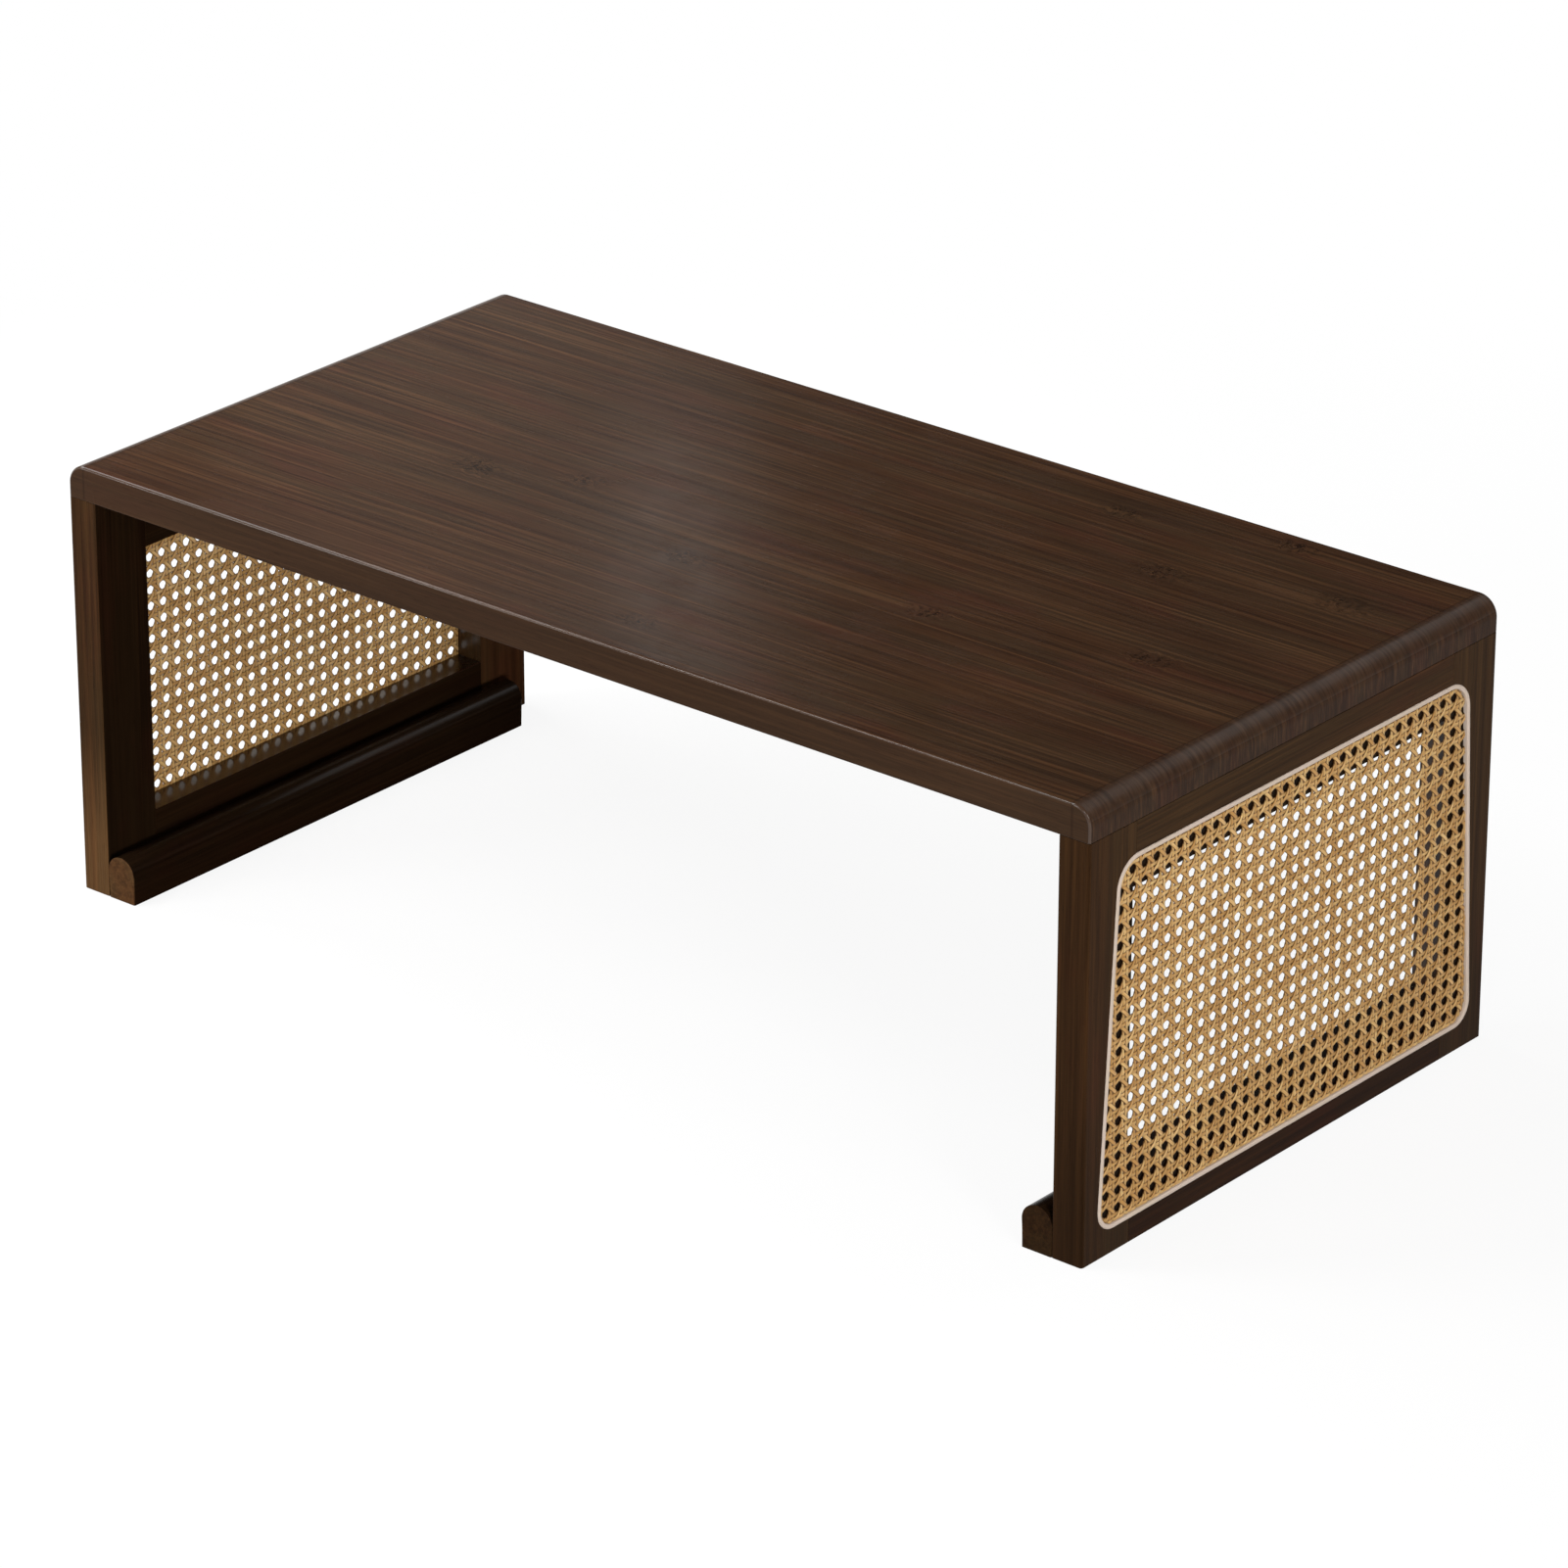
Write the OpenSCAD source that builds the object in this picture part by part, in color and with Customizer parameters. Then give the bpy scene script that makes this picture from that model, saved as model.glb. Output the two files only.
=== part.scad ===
// Folding floor table: a thick top on two panel legs that fold flat under it.
// Each leg is a wooden frame with a sheet of cane webbing in its outer face.
// Origin: on the floor, under the middle of the top. X runs along the table,
// Y from its front to its back, and Z up. The table is drawn standing open.

/* [Table] */
// Length of the top
table_l = 800; // [680:10:1000]
// Depth of the top and of the legs, front to back
table_d = 395; // [370:5:500]
// Height from the floor to the top's surface
table_h = 290; // [260:5:340]
// Thickness of the top board
top_t = 22; // [18:0.5:28]
// Radius of the round-over along the two ends of the top
end_r = 13; // [6:0.5:16]
// Radius of the other outer edges of the top, the legs and the foot bars
edge_r = 2; // [0.5:0.5:3]

/* [Leg frames] */
// Thickness of a leg frame
leg_t = 22; // [18:0.5:28]
// Width of a stile, from the leg's front or back face to the opening
stile_w = 43.5; // [36:0.5:56]
// Height of the bottom rail
bottom_rail_h = 45; // [36:0.5:56]
// Wood between the hinge leaves and the opening, on the top rail
leaf_margin = 3; // [2:0.5:12]
// Depth of a foot bar, measured inwards from the leg
foot_d = 22; // [18:0.5:28]
// Height of a foot bar, with its half-round top
foot_h = 30; // [26:0.5:40]
// How far a foot bar's back end stops short of the leg's back face
foot_short = 28; // [0:1:40]

/* [Cane panels] */
// Wood beside the panel recess at its foot
pane_side_low = 13; // [10:0.5:18]
// Wood beside the panel recess at its top
pane_side_high = 27; // [20:0.5:30]
// Wood under the recess
pane_below = 15.5; // [12:0.5:22]
// Wood over the recess
pane_above = 20; // [14:0.5:24]
// Corner radius at the foot of the recess
pane_r_low = 15; // [10:0.5:22]
// Corner radius at the top of the recess
pane_r_high = 20; // [10:0.5:26]
// Depth of the recess that the webbing lies in
recess_depth = 2; // [1.5:0.1:3]
// Depth of the groove round the recess, from the leg's outer face
groove_depth = 5; // [4:0.1:6]
// Width of the reed spline that holds the webbing
spline_w = 3; // [2.4:0.1:4]
// How far the spline's round top stands out of the leg
spline_proud = 0.8; // [0.2:0.1:1.2]
// Thickness of the webbing
cane_t = 1.3; // [0.8:0.1:1.4]
// Thickness of the webbing's edge where it is tucked into the groove
cane_edge_t = 0.6; // [0.4:0.1:1]
// Rows of gaps in the webbing, each standing for about two rows of the weave
net_rows = 9; // [7:1:9]
// Width of the cane between two gaps
net_strand = 10.8; // [9:0.2:13]
// Closed border of the webbing, from the edge of the recess to the net
net_border = 6.8; // [6:0.2:9]

/* [Hinge rails] */
// Width of a hinge rail
rail_w = 60; // [48:1:80]
// How far a rail's ends stop short of the top's front and back faces
rail_setback = 42; // [30:1:50]
// Distance from a rail's end to its outer screws
rail_screw_inset = 25; // [16:1:34]
// Wood in the rail over the head of a rail screw
rail_screw_land = 14; // [10:0.5:15]
// How far a rail screw reaches into the top
rail_screw_bite = 15; // [10:0.5:15]
// Length that a slotted rail hole adds to a round one, so that the top can swell
slot_play = 5; // [2:0.5:8]

/* [Hinges] */
// Length of a butt hinge
hinge_l = 50; // [40:1:60]
// Distance from the hinge pin to the edge of a leaf
leaf_w = 17; // [15:0.5:22]
// Thickness of a leaf
leaf_t = 2; // [1.6:0.1:2.4]
// Radius of a knuckle
knuckle_r = 3.6; // [3:0.1:4.2]
// Radius of the hinge pin
pin_r = 1.75; // [1.4:0.05:2]
// Number of knuckles of a hinge, the outer ones on the rail's leaf
knuckles = 5; // [3:2:7]
// Distance from a rail's end to the middle of a hinge
hinge_inset = 55.5; // [40:0.5:60]
// Length of a leaf screw
leaf_screw_l = 13; // [10:0.5:14]
// Distance from a leaf's end to its outer screws
leaf_screw_inset = 8; // [6:0.5:10]

/* [Dowels and magnets] */
// Radius of the dowels between rails and stiles
frame_dowel_r = 4; // [3:0.25:5]
// Length of those dowels, half of it in each piece
frame_dowel_l = 40; // [30:1:50]
// Distance of the dowels from the edges of their rail
frame_dowel_inset = 11; // [9:0.5:13]
// Radius of the magnets, and of the dowels that share a bore with them
magnet_r = 5; // [4:0.25:6]
// Thickness of a magnet
magnet_t = 4; // [3:0.25:5]
// Wood left over the magnets that are hidden in a foot bar
magnet_skin = 2.5; // [1.5:0.25:4]
// How far the foot dowels reach into the leg
foot_dowel_reach = 12; // [9:0.5:14]
// Distance from the ends of the dowels in the bottom rail to the outer foot dowels
foot_dowel_inset = 14; // [10:1:24]
// Distance from the middle of a hinge to the magnet beside it, towards the middle
catch_inset = 50; // [40:1:70]

/* [Hidden] */
$fn = 48;

walnut = [0.33, 0.22, 0.16];
walnut_dark = [0.24, 0.16, 0.12];
beech = [0.80, 0.66, 0.47];
cane_colour = [0.80, 0.64, 0.40];
reed_colour = [0.92, 0.88, 0.80];
hinge_steel = [0.52, 0.50, 0.46];
screw_steel = [0.70, 0.70, 0.72];
magnet_nickel = [0.78, 0.78, 0.80];

// Clearance between a moving piece and a fixed one
gap = 0.3;
// Clearance between two pieces that are fixed to each other
seat = 0.05;
// Running clearance of a knuckle on its pin
run_fit = 0.06;
// How far a cutting solid runs past the face that it opens
past = 1;
// How much deeper a dowel's bore is than the dowel reaches
bore_spare = 0.5;
// Radius of the edges that face the inside of the table
inner_ease = min(edge_r, 1);

half_l = table_l / 2;
half_d = table_d / 2;
under_z = table_h - top_t;
leg_top = under_z - gap;
leg_in = half_l - leg_t;
// The rail is as thick as the foot bar is deep, so a folded leg lies level
rail_t = foot_d;
// The pin lies at the corner between the rail and the leg
pin_x = leg_in - gap;
pin_z = under_z - rail_t - gap;
rail_z = pin_z + gap;
rail_l = table_d - 2 * rail_setback;
top_rail_h = rail_t + leaf_w + leaf_margin;
opening_y = half_d - stile_w;
rail_end_y = opening_y - seat;

// Panel recess: low and high edges, half widths, and the slope of its sides
pane_z0 = pane_below;
pane_z1 = leg_top - pane_above;
pane_y0 = half_d - pane_side_low;
pane_y1 = half_d - pane_side_high;
lean = atan((pane_y0 - pane_y1) / (pane_z1 - pane_z0));
low_centre = [pane_y0 - pane_r_low * (1 + sin(lean)) / cos(lean), pane_z0 + pane_r_low];
high_centre = [pane_y1 - pane_r_high * (1 - sin(lean)) / cos(lean), pane_z1 - pane_r_high];
side_normal = [cos(lean), sin(lean)];

// The groove holds the spline outside and the webbing's tucked edge inside
tuck_out = spline_w + 2 * seat;
tuck_in = tuck_out + cane_edge_t;
groove_w = tuck_in + seat;
// The bead is the spline's round top: it starts below the leg's face, a hairline narrower
bead_root = 0.3;
hairline = 0.02;
bead_half_w = spline_w / 2 - hairline;
bead_h = bead_root + spline_proud;
bead_r = (bead_half_w * bead_half_w + bead_h * bead_h) / (2 * bead_h);

// The gaps in the webbing are eight-sided, with a side along each strand
net_sides = 8;
net_pitch = (pane_z1 - pane_z0 - 2 * net_border) / net_rows;
net_gap = net_pitch - net_strand;
net_reach = ceil(pane_y0 / net_pitch);

hinge_y = rail_l / 2 - hinge_inset;
knuckle_l = hinge_l / knuckles;
// Clearance of the knuckles from each other, from the other leaf and from the wood
knuckle_gap = 0.3;
knuckle_sweep = 0.6;
knuckle_clear = 0.4;
// Each leaf starts outside the sweep of the other leaf's knuckles
leaf_root = knuckle_r + knuckle_sweep;
pin_head_r = 2.6;
pin_head_t = 0.8;

leaf_screw_r = 1.6;
leaf_head_r = 3.2;
leaf_head_h = 1.6;
leaf_screw_x = (leaf_root + leaf_w) / 2;
leaf_screw_pitch = (hinge_l - 2 * leaf_screw_inset) / 2;
rail_screw_r = 2;
rail_head_r = 4;
rail_head_top_r = 3.2;
rail_head_h = 2.6;
// Length of a screw's tip, and the radius of its blunt end
screw_tip = 4;
screw_point_r = 0.2;
rail_screw_x = (leaf_w + rail_w) / 2;
rail_screw_pitch = (rail_l - 2 * rail_screw_inset) / 3;
rail_screw_seat = under_z - rail_screw_land;

// The dowels between rails and stiles lie in the middle of the wood behind the groove
frame_dowel_x = (leg_in + half_l - groove_depth) / 2;

foot_arch_r = (foot_d - seat) / 2;
foot_block_h = foot_h - foot_arch_r;
foot_y0 = -half_d;
foot_y1 = half_d - foot_short;
foot_dowel_z = foot_h / 2;
foot_dowel_y = opening_y - frame_dowel_l / 2 - foot_dowel_inset;
foot_bore_end = leg_in - (foot_d - magnet_skin);
foot_dowel_start = foot_bore_end + magnet_t + 2 * seat;
catch_z = (rail_z + under_z) / 2;
// Where the foot bar's magnets arrive when the leg is folded
folded_magnet_x = pin_x - (pin_z - foot_dowel_z);

// Places along Y and Z where things repeat
rail_screw_ys = [for (i = [0:3]) (i - 1.5) * rail_screw_pitch];
leaf_screw_ys = [for (i = [-1:1]) i * leaf_screw_pitch];
foot_dowel_ys = [-foot_dowel_y, 0, foot_dowel_y];
frame_dowel_zs = [
    frame_dowel_inset,
    bottom_rail_h - frame_dowel_inset,
    leg_top - top_rail_h + frame_dowel_inset,
    leg_top - frame_dowel_inset
];
catch_ys = [catch_inset - hinge_y, hinge_y - catch_inset];

// A rectangle with a radius for each corner: low left, low right, high right, high left.
module eased_rect(low, high, r) {
    corners = [low, [high[0], low[1]], high, [low[0], high[1]]];
    inward = [[1, 1], [-1, 1], [-1, -1], [1, -1]];
    points = [
        for (i = [0:3])
            for (k = (i % 2 == 0) ? [1, 0] : [0, 1])
                corners[i] + [k == 0 ? inward[i][0] * r[i] : 0, k == 1 ? inward[i][1] * r[i] : 0]
    ];
    polygon(points);
    for (i = [0:3])
        if (r[i] > 0)
            translate([corners[i][0] + inward[i][0] * r[i], corners[i][1] + inward[i][1] * r[i]])
                circle(r[i]);
}

// Stands a drawing of the plane (Y, Z) upright and runs it along X.
module along_x(x0, x1)
    translate([x0, 0, 0])
        rotate([90, 0, 90])
            linear_extrude(x1 - x0)
                children();

// Draws a piece of the right leg, or its mirror image on the left.
module on_side(side)
    if (side == "left")
        mirror([1, 0, 0])
            children();
    else
        children();

module both_sides() {
    children();
    mirror([1, 0, 0])
        children();
}

// A rod along +X from a point.
module rod_x(at, r, l)
    translate(at)
        rotate([0, 90, 0])
            cylinder(h = l, r = r);

// A rod along Y about a point.
module rod_y(at, r, l)
    translate(at)
        rotate([90, 0, 0])
            cylinder(h = l, r = r, center = true);

// The top: a slab whose ends turn down in a quarter round, with one eased edge all round.
module top_board() {
    along_x(end_r - half_l, half_l - end_r)
        eased_rect([-half_d, under_z], [half_d, table_h], [0, 0, edge_r, edge_r]);
    both_sides() {
        translate([half_l - end_r, 0, table_h - end_r])
            rotate([90, 0, 0])
                rotate_extrude(angle = 90)
                    eased_rect([0, -half_d], [end_r, half_d], [0, edge_r, edge_r, 0]);
        translate([0, 0, under_z])
            linear_extrude(top_t - end_r)
                eased_rect([half_l - end_r, -half_d], [half_l, half_d], [0, edge_r, edge_r, 0]);
    }
}

module tabletop() {
    color(walnut)
        difference() {
            top_board();
            both_sides() {
                for (y = rail_screw_ys)
                    translate([pin_x - rail_screw_x, y, under_z - past])
                        cylinder(h = rail_screw_bite + past + seat, r = rail_screw_r + seat);
                for (y = foot_dowel_ys)
                    translate([folded_magnet_x, y, under_z - past])
                        cylinder(h = magnet_t + past + seat, r = magnet_r + seat);
            }
        }
}

// A round hole, or a slot along Y that the top can slide by as it swells.
module rail_hole(r, play, h)
    linear_extrude(h) {
        translate([0, -play / 2])
            circle(r);
        translate([0, play / 2])
            circle(r);
        square([2 * r, max(play, seat)], center = true);
    }

// The rail's outer corner makes room for the knuckles, and its underside for the leaves.
module hinge_rail() {
    color(walnut_dark)
        difference() {
            translate([0, rail_l / 2, 0])
                rotate([90, 0, 0])
                    linear_extrude(rail_l)
                        eased_rect([pin_x - rail_w, rail_z], [pin_x, under_z], [edge_r, 0, 0, 0]);
            for (i = [0:3]) {
                play = (i == 0 || i == 3) ? slot_play : 0;
                translate([pin_x - rail_screw_x, rail_screw_ys[i], rail_z - past]) {
                    rail_hole(rail_screw_r + seat, play, rail_t + 2 * past);
                    rail_hole(rail_head_r + gap, play, rail_screw_seat - rail_z + past);
                }
            }
            for (y = [-hinge_y, hinge_y]) {
                rod_y([pin_x, y, pin_z], knuckle_r + knuckle_clear, hinge_l + 2 * knuckle_clear + 2 * pin_head_t);
                translate([pin_x - leaf_w - seat, y - hinge_l / 2 - seat, rail_z - past])
                    cube([leaf_w + past, hinge_l + 2 * seat, leaf_t + past + seat]);
                for (dy = leaf_screw_ys)
                    translate([pin_x - leaf_screw_x, y + dy, rail_z])
                        cylinder(h = leaf_screw_l + seat, r = leaf_screw_r + seat);
            }
            for (y = catch_ys)
                rod_x([pin_x - magnet_t - seat, y, catch_z], magnet_r + seat, magnet_t + past);
        }
}

// Half of the outer points of the recess, at an even distance inside its edge.
function pane_points(inset) = [
    [low_centre[0], low_centre[1] - (pane_r_low - inset)],
    low_centre + side_normal * (pane_r_low - inset),
    high_centre + side_normal * (pane_r_high - inset),
    [high_centre[0], high_centre[1] + (pane_r_high - inset)]
];

// The panel's outline in the plane (Y, Z), drawn inset from the edge of its recess.
module pane(inset = 0) {
    half = pane_points(inset);
    polygon(concat(half, [for (i = [3:-1:0]) [-half[i][0], half[i][1]]]));
    for (s = [-1, 1]) {
        translate([s * low_centre[0], low_centre[1]])
            circle(pane_r_low - inset);
        translate([s * high_centre[0], high_centre[1]])
            circle(pane_r_high - inset);
    }
}

module pane_ring(outer, inner)
    difference() {
        pane(outer);
        pane(inner);
    }

// What the leg frame loses to the panel: the shallow recess, and the groove round it.
module pane_cut() {
    along_x(half_l - recess_depth, half_l + past)
        pane();
    along_x(half_l - groove_depth, half_l + past)
        pane_ring(0, groove_w);
}

// Rods across the joints between rails and stiles, two at each end of a rail.
module frame_rods(r, l)
    for (y = [-opening_y, opening_y])
        for (z = frame_dowel_zs)
            rod_y([frame_dowel_x, y, z], r, l);

module frame_dowel_bores()
    frame_rods(frame_dowel_r + seat, frame_dowel_l + 2 * bore_spare);

module foot_dowel_bores()
    for (y = foot_dowel_ys)
        rod_x([leg_in - past, y, foot_dowel_z], magnet_r + seat, past + foot_dowel_reach + seat);

// One upright of the leg frame; s is -1 for the front one and 1 for the back one.
module stile(s) {
    low_y = (s < 0) ? -half_d : opening_y;
    radii = (s < 0) ? [inner_ease, edge_r, 0, 0] : [0, 0, edge_r, inner_ease];
    color(walnut)
        difference() {
            linear_extrude(leg_top)
                eased_rect([leg_in, low_y], [half_l, low_y + stile_w], radii);
            pane_cut();
            frame_dowel_bores();
        }
}

module frame_rail(z0, z1)
    translate([leg_in, -rail_end_y, z0])
        cube([leg_t, 2 * rail_end_y, z1 - z0]);

module top_rail() {
    color(walnut)
        difference() {
            frame_rail(leg_top - top_rail_h, leg_top);
            pane_cut();
            frame_dowel_bores();
            for (y = [-hinge_y, hinge_y]) {
                rod_y([pin_x, y, pin_z], knuckle_r + knuckle_clear, hinge_l + 2 * knuckle_clear + 2 * pin_head_t);
                translate([leg_in - past, y - hinge_l / 2 - seat, pin_z - leaf_w - seat])
                    cube([leaf_t + past + seat, hinge_l + 2 * seat, leaf_w + seat]);
                for (dy = leaf_screw_ys)
                    rod_x([leg_in, y + dy, pin_z - leaf_screw_x], leaf_screw_r + seat, leaf_screw_l + seat);
            }
            for (y = catch_ys)
                rod_x([leg_in - past, y, catch_z], magnet_r + seat, magnet_t + past + seat);
        }
}

module bottom_rail() {
    color(walnut)
        difference() {
            frame_rail(0, bottom_rail_h);
            pane_cut();
            frame_dowel_bores();
            foot_dowel_bores();
        }
}

// The foot bar: a block along the floor with a half-round top.
module foot_bar() {
    middle_x = leg_in - seat - foot_arch_r;
    low = [leg_in - foot_d, foot_y0];
    high = [leg_in - seat, foot_y1];
    color(walnut)
        difference() {
            union() {
                linear_extrude(foot_block_h)
                    eased_rect(low, high, [inner_ease, 0, 0, inner_ease]);
                translate([middle_x, 0, foot_block_h])
                    rotate([90, 0, 0])
                        rotate_extrude(angle = 180)
                            eased_rect([0, -foot_y1], [foot_arch_r, -foot_y0], [0, inner_ease, inner_ease, 0]);
            }
            for (y = foot_dowel_ys)
                rod_x([foot_bore_end, y, foot_dowel_z], magnet_r + seat, foot_d);
        }
}

// Half width of the recess at a height.
function pane_half(z) = pane_y0 - (z - pane_z0) * tan(lean);

// The webbing: a sheet with eight-sided gaps on a square grid, its edge tucked into the groove.
module cane_webbing() {
    ledge = half_l - recess_depth + seat;
    color(cane_colour) {
        along_x(ledge, ledge + cane_t)
            difference() {
                pane(tuck_out);
                for (row = [0:net_rows - 1]) {
                    z = pane_z0 + net_border + (row + 0.5) * net_pitch;
                    for (column = [-net_reach:net_reach]) {
                        y = column * net_pitch;
                        if (abs(y) + net_gap / 2 < pane_half(z) - net_border)
                            translate([y, z])
                                rotate(180 / net_sides)
                                    circle(net_gap / 2 / cos(180 / net_sides), $fn = net_sides);
                    }
                }
            }
        along_x(half_l - groove_depth + gap, ledge + cane_t)
            pane_ring(tuck_out, tuck_in);
    }
}

// Section of the spline's bead: x across it, and y out of the leg.
module bead_section()
    intersection() {
        translate([0, half_l + spline_proud - bead_r])
            circle(bead_r);
        translate([-spline_w / 2, half_l - bead_root])
            square([spline_w, bead_h + past]);
    }

// One straight length of the bead, a hairline short of the bend at each end.
module bead_run(from, to) {
    way = to - from;
    translate([from[0], from[1], 0])
        rotate([90, 0, atan2(way[1], way[0]) + 90])
            translate([0, 0, hairline])
                linear_extrude(norm(way) - 2 * hairline)
                    bead_section();
}

// One bend of the bead about the centre of a corner.
module bead_bend(centre, r, start, turn)
    translate([centre[0], centre[1], 0])
        rotate([0, 0, start])
            rotate_extrude(angle = turn)
                translate([r, 0])
                    bead_section();

// The spline: a square-edged reed down in the groove, and its bead in eight lengths.
module cane_spline() {
    inset = seat + spline_w / 2;
    half = pane_points(inset);
    other = [for (p = half) [-p[0], p[1]]];
    color(reed_colour) {
        along_x(half_l - groove_depth + seat, half_l)
            pane_ring(seat, seat + spline_w);
        rotate([90, 0, 90]) {
            bead_run(half[1], half[2]);
            bead_run(half[3], other[3]);
            bead_run(other[2], other[1]);
            bead_run(other[0], half[0]);
            bead_bend(low_centre, pane_r_low - inset, -90, 90 + lean);
            bead_bend(high_centre, pane_r_high - inset, lean, 90 - lean);
            bead_bend([-high_centre[0], high_centre[1]], pane_r_high - inset, 90, 90 - lean);
            bead_bend([-low_centre[0], low_centre[1]], pane_r_low - inset, 180 - lean, 90 + lean);
        }
    }
}

module foot_dowels()
    color(beech)
        for (y = foot_dowel_ys)
            rod_x(
                [foot_dowel_start, y, foot_dowel_z],
                magnet_r,
                leg_in + foot_dowel_reach - foot_dowel_start
            );

module frame_dowels()
    color(beech)
        frame_rods(frame_dowel_r, frame_dowel_l);

// The leg's magnets: two face the hinge rail, and three lie at the ends of the foot's bores.
module leg_magnets()
    color(magnet_nickel) {
        for (y = catch_ys)
            rod_x([leg_in, y, catch_z], magnet_r, magnet_t);
        for (y = foot_dowel_ys)
            rod_x([foot_bore_end + seat, y, foot_dowel_z], magnet_r, magnet_t);
    }

// The fixed magnets: two in each hinge rail, and three in the top over each folded foot bar.
module top_magnets()
    color(magnet_nickel)
        both_sides() {
            for (y = catch_ys)
                rod_x([pin_x - magnet_t, y, catch_z], magnet_r, magnet_t);
            for (y = foot_dowel_ys)
                translate([folded_magnet_x, y, under_z])
                    cylinder(h = magnet_t, r = magnet_r);
        }

// A countersunk screw from its flat head, along +Z.
module leaf_screw() {
    cylinder(h = leaf_head_h, r1 = leaf_head_r, r2 = leaf_screw_r);
    translate([0, 0, leaf_head_h])
        cylinder(h = leaf_screw_l - leaf_head_h - screw_tip, r = leaf_screw_r);
    translate([0, 0, leaf_screw_l - screw_tip])
        cylinder(h = screw_tip, r1 = leaf_screw_r, r2 = screw_point_r);
}

// The hole that a leaf gives such a screw.
module leaf_screw_hole() {
    cylinder(h = leaf_head_h, r1 = leaf_head_r + seat, r2 = leaf_screw_r + seat);
    translate([0, 0, -past])
        cylinder(h = leaf_t + 2 * past, r = leaf_screw_r + seat);
}

// A pan-head screw from the middle of its head's underside, along +Z.
module rail_screw() {
    reach = rail_screw_land + rail_screw_bite;
    translate([0, 0, -rail_head_h])
        cylinder(h = rail_head_h, r1 = rail_head_top_r, r2 = rail_head_r);
    cylinder(h = reach - screw_tip, r = rail_screw_r);
    translate([0, 0, reach - screw_tip])
        cylinder(h = screw_tip, r1 = rail_screw_r, r2 = screw_point_r);
}

module rail_screws()
    color(screw_steel)
        both_sides()
            for (y = rail_screw_ys)
                translate([pin_x - rail_screw_x, y, rail_screw_seat - seat])
                    rail_screw();

// A hinge leaf about a pin along Y: the plate hangs along -X with its back up.
// The leaf holds the knuckles whose number has the same parity as first.
module leaf(first, bore) {
    difference() {
        union() {
            translate([-leaf_w, -hinge_l / 2, gap])
                cube([leaf_w - leaf_root, hinge_l, leaf_t]);
            for (i = [first:2:knuckles - 1]) {
                y0 = -hinge_l / 2 + i * knuckle_l + (i == 0 ? 0 : knuckle_gap / 2);
                y1 = -hinge_l / 2 + (i + 1) * knuckle_l - (i == knuckles - 1 ? 0 : knuckle_gap / 2);
                translate([-leaf_w, y0, gap])
                    cube([leaf_w, y1 - y0, leaf_t]);
                rod_y([0, (y0 + y1) / 2, 0], knuckle_r, y1 - y0);
            }
        }
        rod_y([0, 0, 0], bore, hinge_l + 2 * past);
        for (dy = leaf_screw_ys)
            translate([-leaf_screw_x, dy, gap])
                leaf_screw_hole();
    }
}

// Leaves and pins of the hinge in front (s = -1) or at the back (s = 1).
module rail_leaf(s)
    color(hinge_steel)
        translate([pin_x, s * hinge_y, pin_z])
            leaf(0, pin_r + seat / 2);

module leg_leaf(s)
    color(hinge_steel)
        translate([pin_x, s * hinge_y, pin_z])
            rotate([0, -90, 0])
                mirror([0, 0, 1])
                    leaf(1, pin_r + run_fit);

module hinge_pin(s)
    color(screw_steel)
        translate([pin_x, s * hinge_y, pin_z]) {
            rod_y([0, 0, 0], pin_r, hinge_l + 2 * seat);
            for (end = [-1, 1])
                rod_y([0, end * (hinge_l + pin_head_t + 2 * seat) / 2, 0], pin_head_r, pin_head_t);
        }

module rail_leaf_screws()
    color(screw_steel)
        both_sides()
            for (s = [-1, 1])
                for (dy = leaf_screw_ys)
                    translate([pin_x - leaf_screw_x, s * hinge_y + dy, rail_z])
                        leaf_screw();

module leg_leaf_screws()
    color(screw_steel)
        for (s = [-1, 1])
            for (dy = leaf_screw_ys)
                translate([leg_in, s * hinge_y + dy, pin_z - leaf_screw_x])
                    rotate([0, 90, 0])
                        leaf_screw();

tabletop();
on_side("left") hinge_rail();  // left_hinge_rail
on_side("right") hinge_rail();  // right_hinge_rail
rail_screws();
top_magnets();
on_side("left") rail_leaf(-1);  // left_front_rail_leaf
on_side("left") rail_leaf(1);  // left_back_rail_leaf
on_side("right") rail_leaf(-1);  // right_front_rail_leaf
on_side("right") rail_leaf(1);  // right_back_rail_leaf
on_side("left") hinge_pin(-1);  // left_front_hinge_pin
on_side("left") hinge_pin(1);  // left_back_hinge_pin
on_side("right") hinge_pin(-1);  // right_front_hinge_pin
on_side("right") hinge_pin(1);  // right_back_hinge_pin
rail_leaf_screws();
on_side("left") stile(-1);  // left_front_stile
on_side("left") stile(1);  // left_back_stile
on_side("left") top_rail();  // left_top_rail
on_side("left") bottom_rail();  // left_bottom_rail
on_side("left") foot_bar();  // left_foot_bar
on_side("left") cane_webbing();  // left_cane_webbing
on_side("left") cane_spline();  // left_cane_spline
on_side("left") frame_dowels();  // left_frame_dowels
on_side("left") foot_dowels();  // left_foot_dowels
on_side("left") leg_magnets();  // left_leg_magnets
on_side("left") leg_leaf(-1);  // left_front_leg_leaf
on_side("left") leg_leaf(1);  // left_back_leg_leaf
on_side("left") leg_leaf_screws();  // left_leg_leaf_screws
on_side("right") stile(-1);  // right_front_stile
on_side("right") stile(1);  // right_back_stile
on_side("right") top_rail();  // right_top_rail
on_side("right") bottom_rail();  // right_bottom_rail
on_side("right") foot_bar();  // right_foot_bar
on_side("right") cane_webbing();  // right_cane_webbing
on_side("right") cane_spline();  // right_cane_spline
on_side("right") frame_dowels();  // right_frame_dowels
on_side("right") foot_dowels();  // right_foot_dowels
on_side("right") leg_magnets();  // right_leg_magnets
on_side("right") leg_leaf(-1);  // right_front_leg_leaf
on_side("right") leg_leaf(1);  // right_back_leg_leaf
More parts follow.
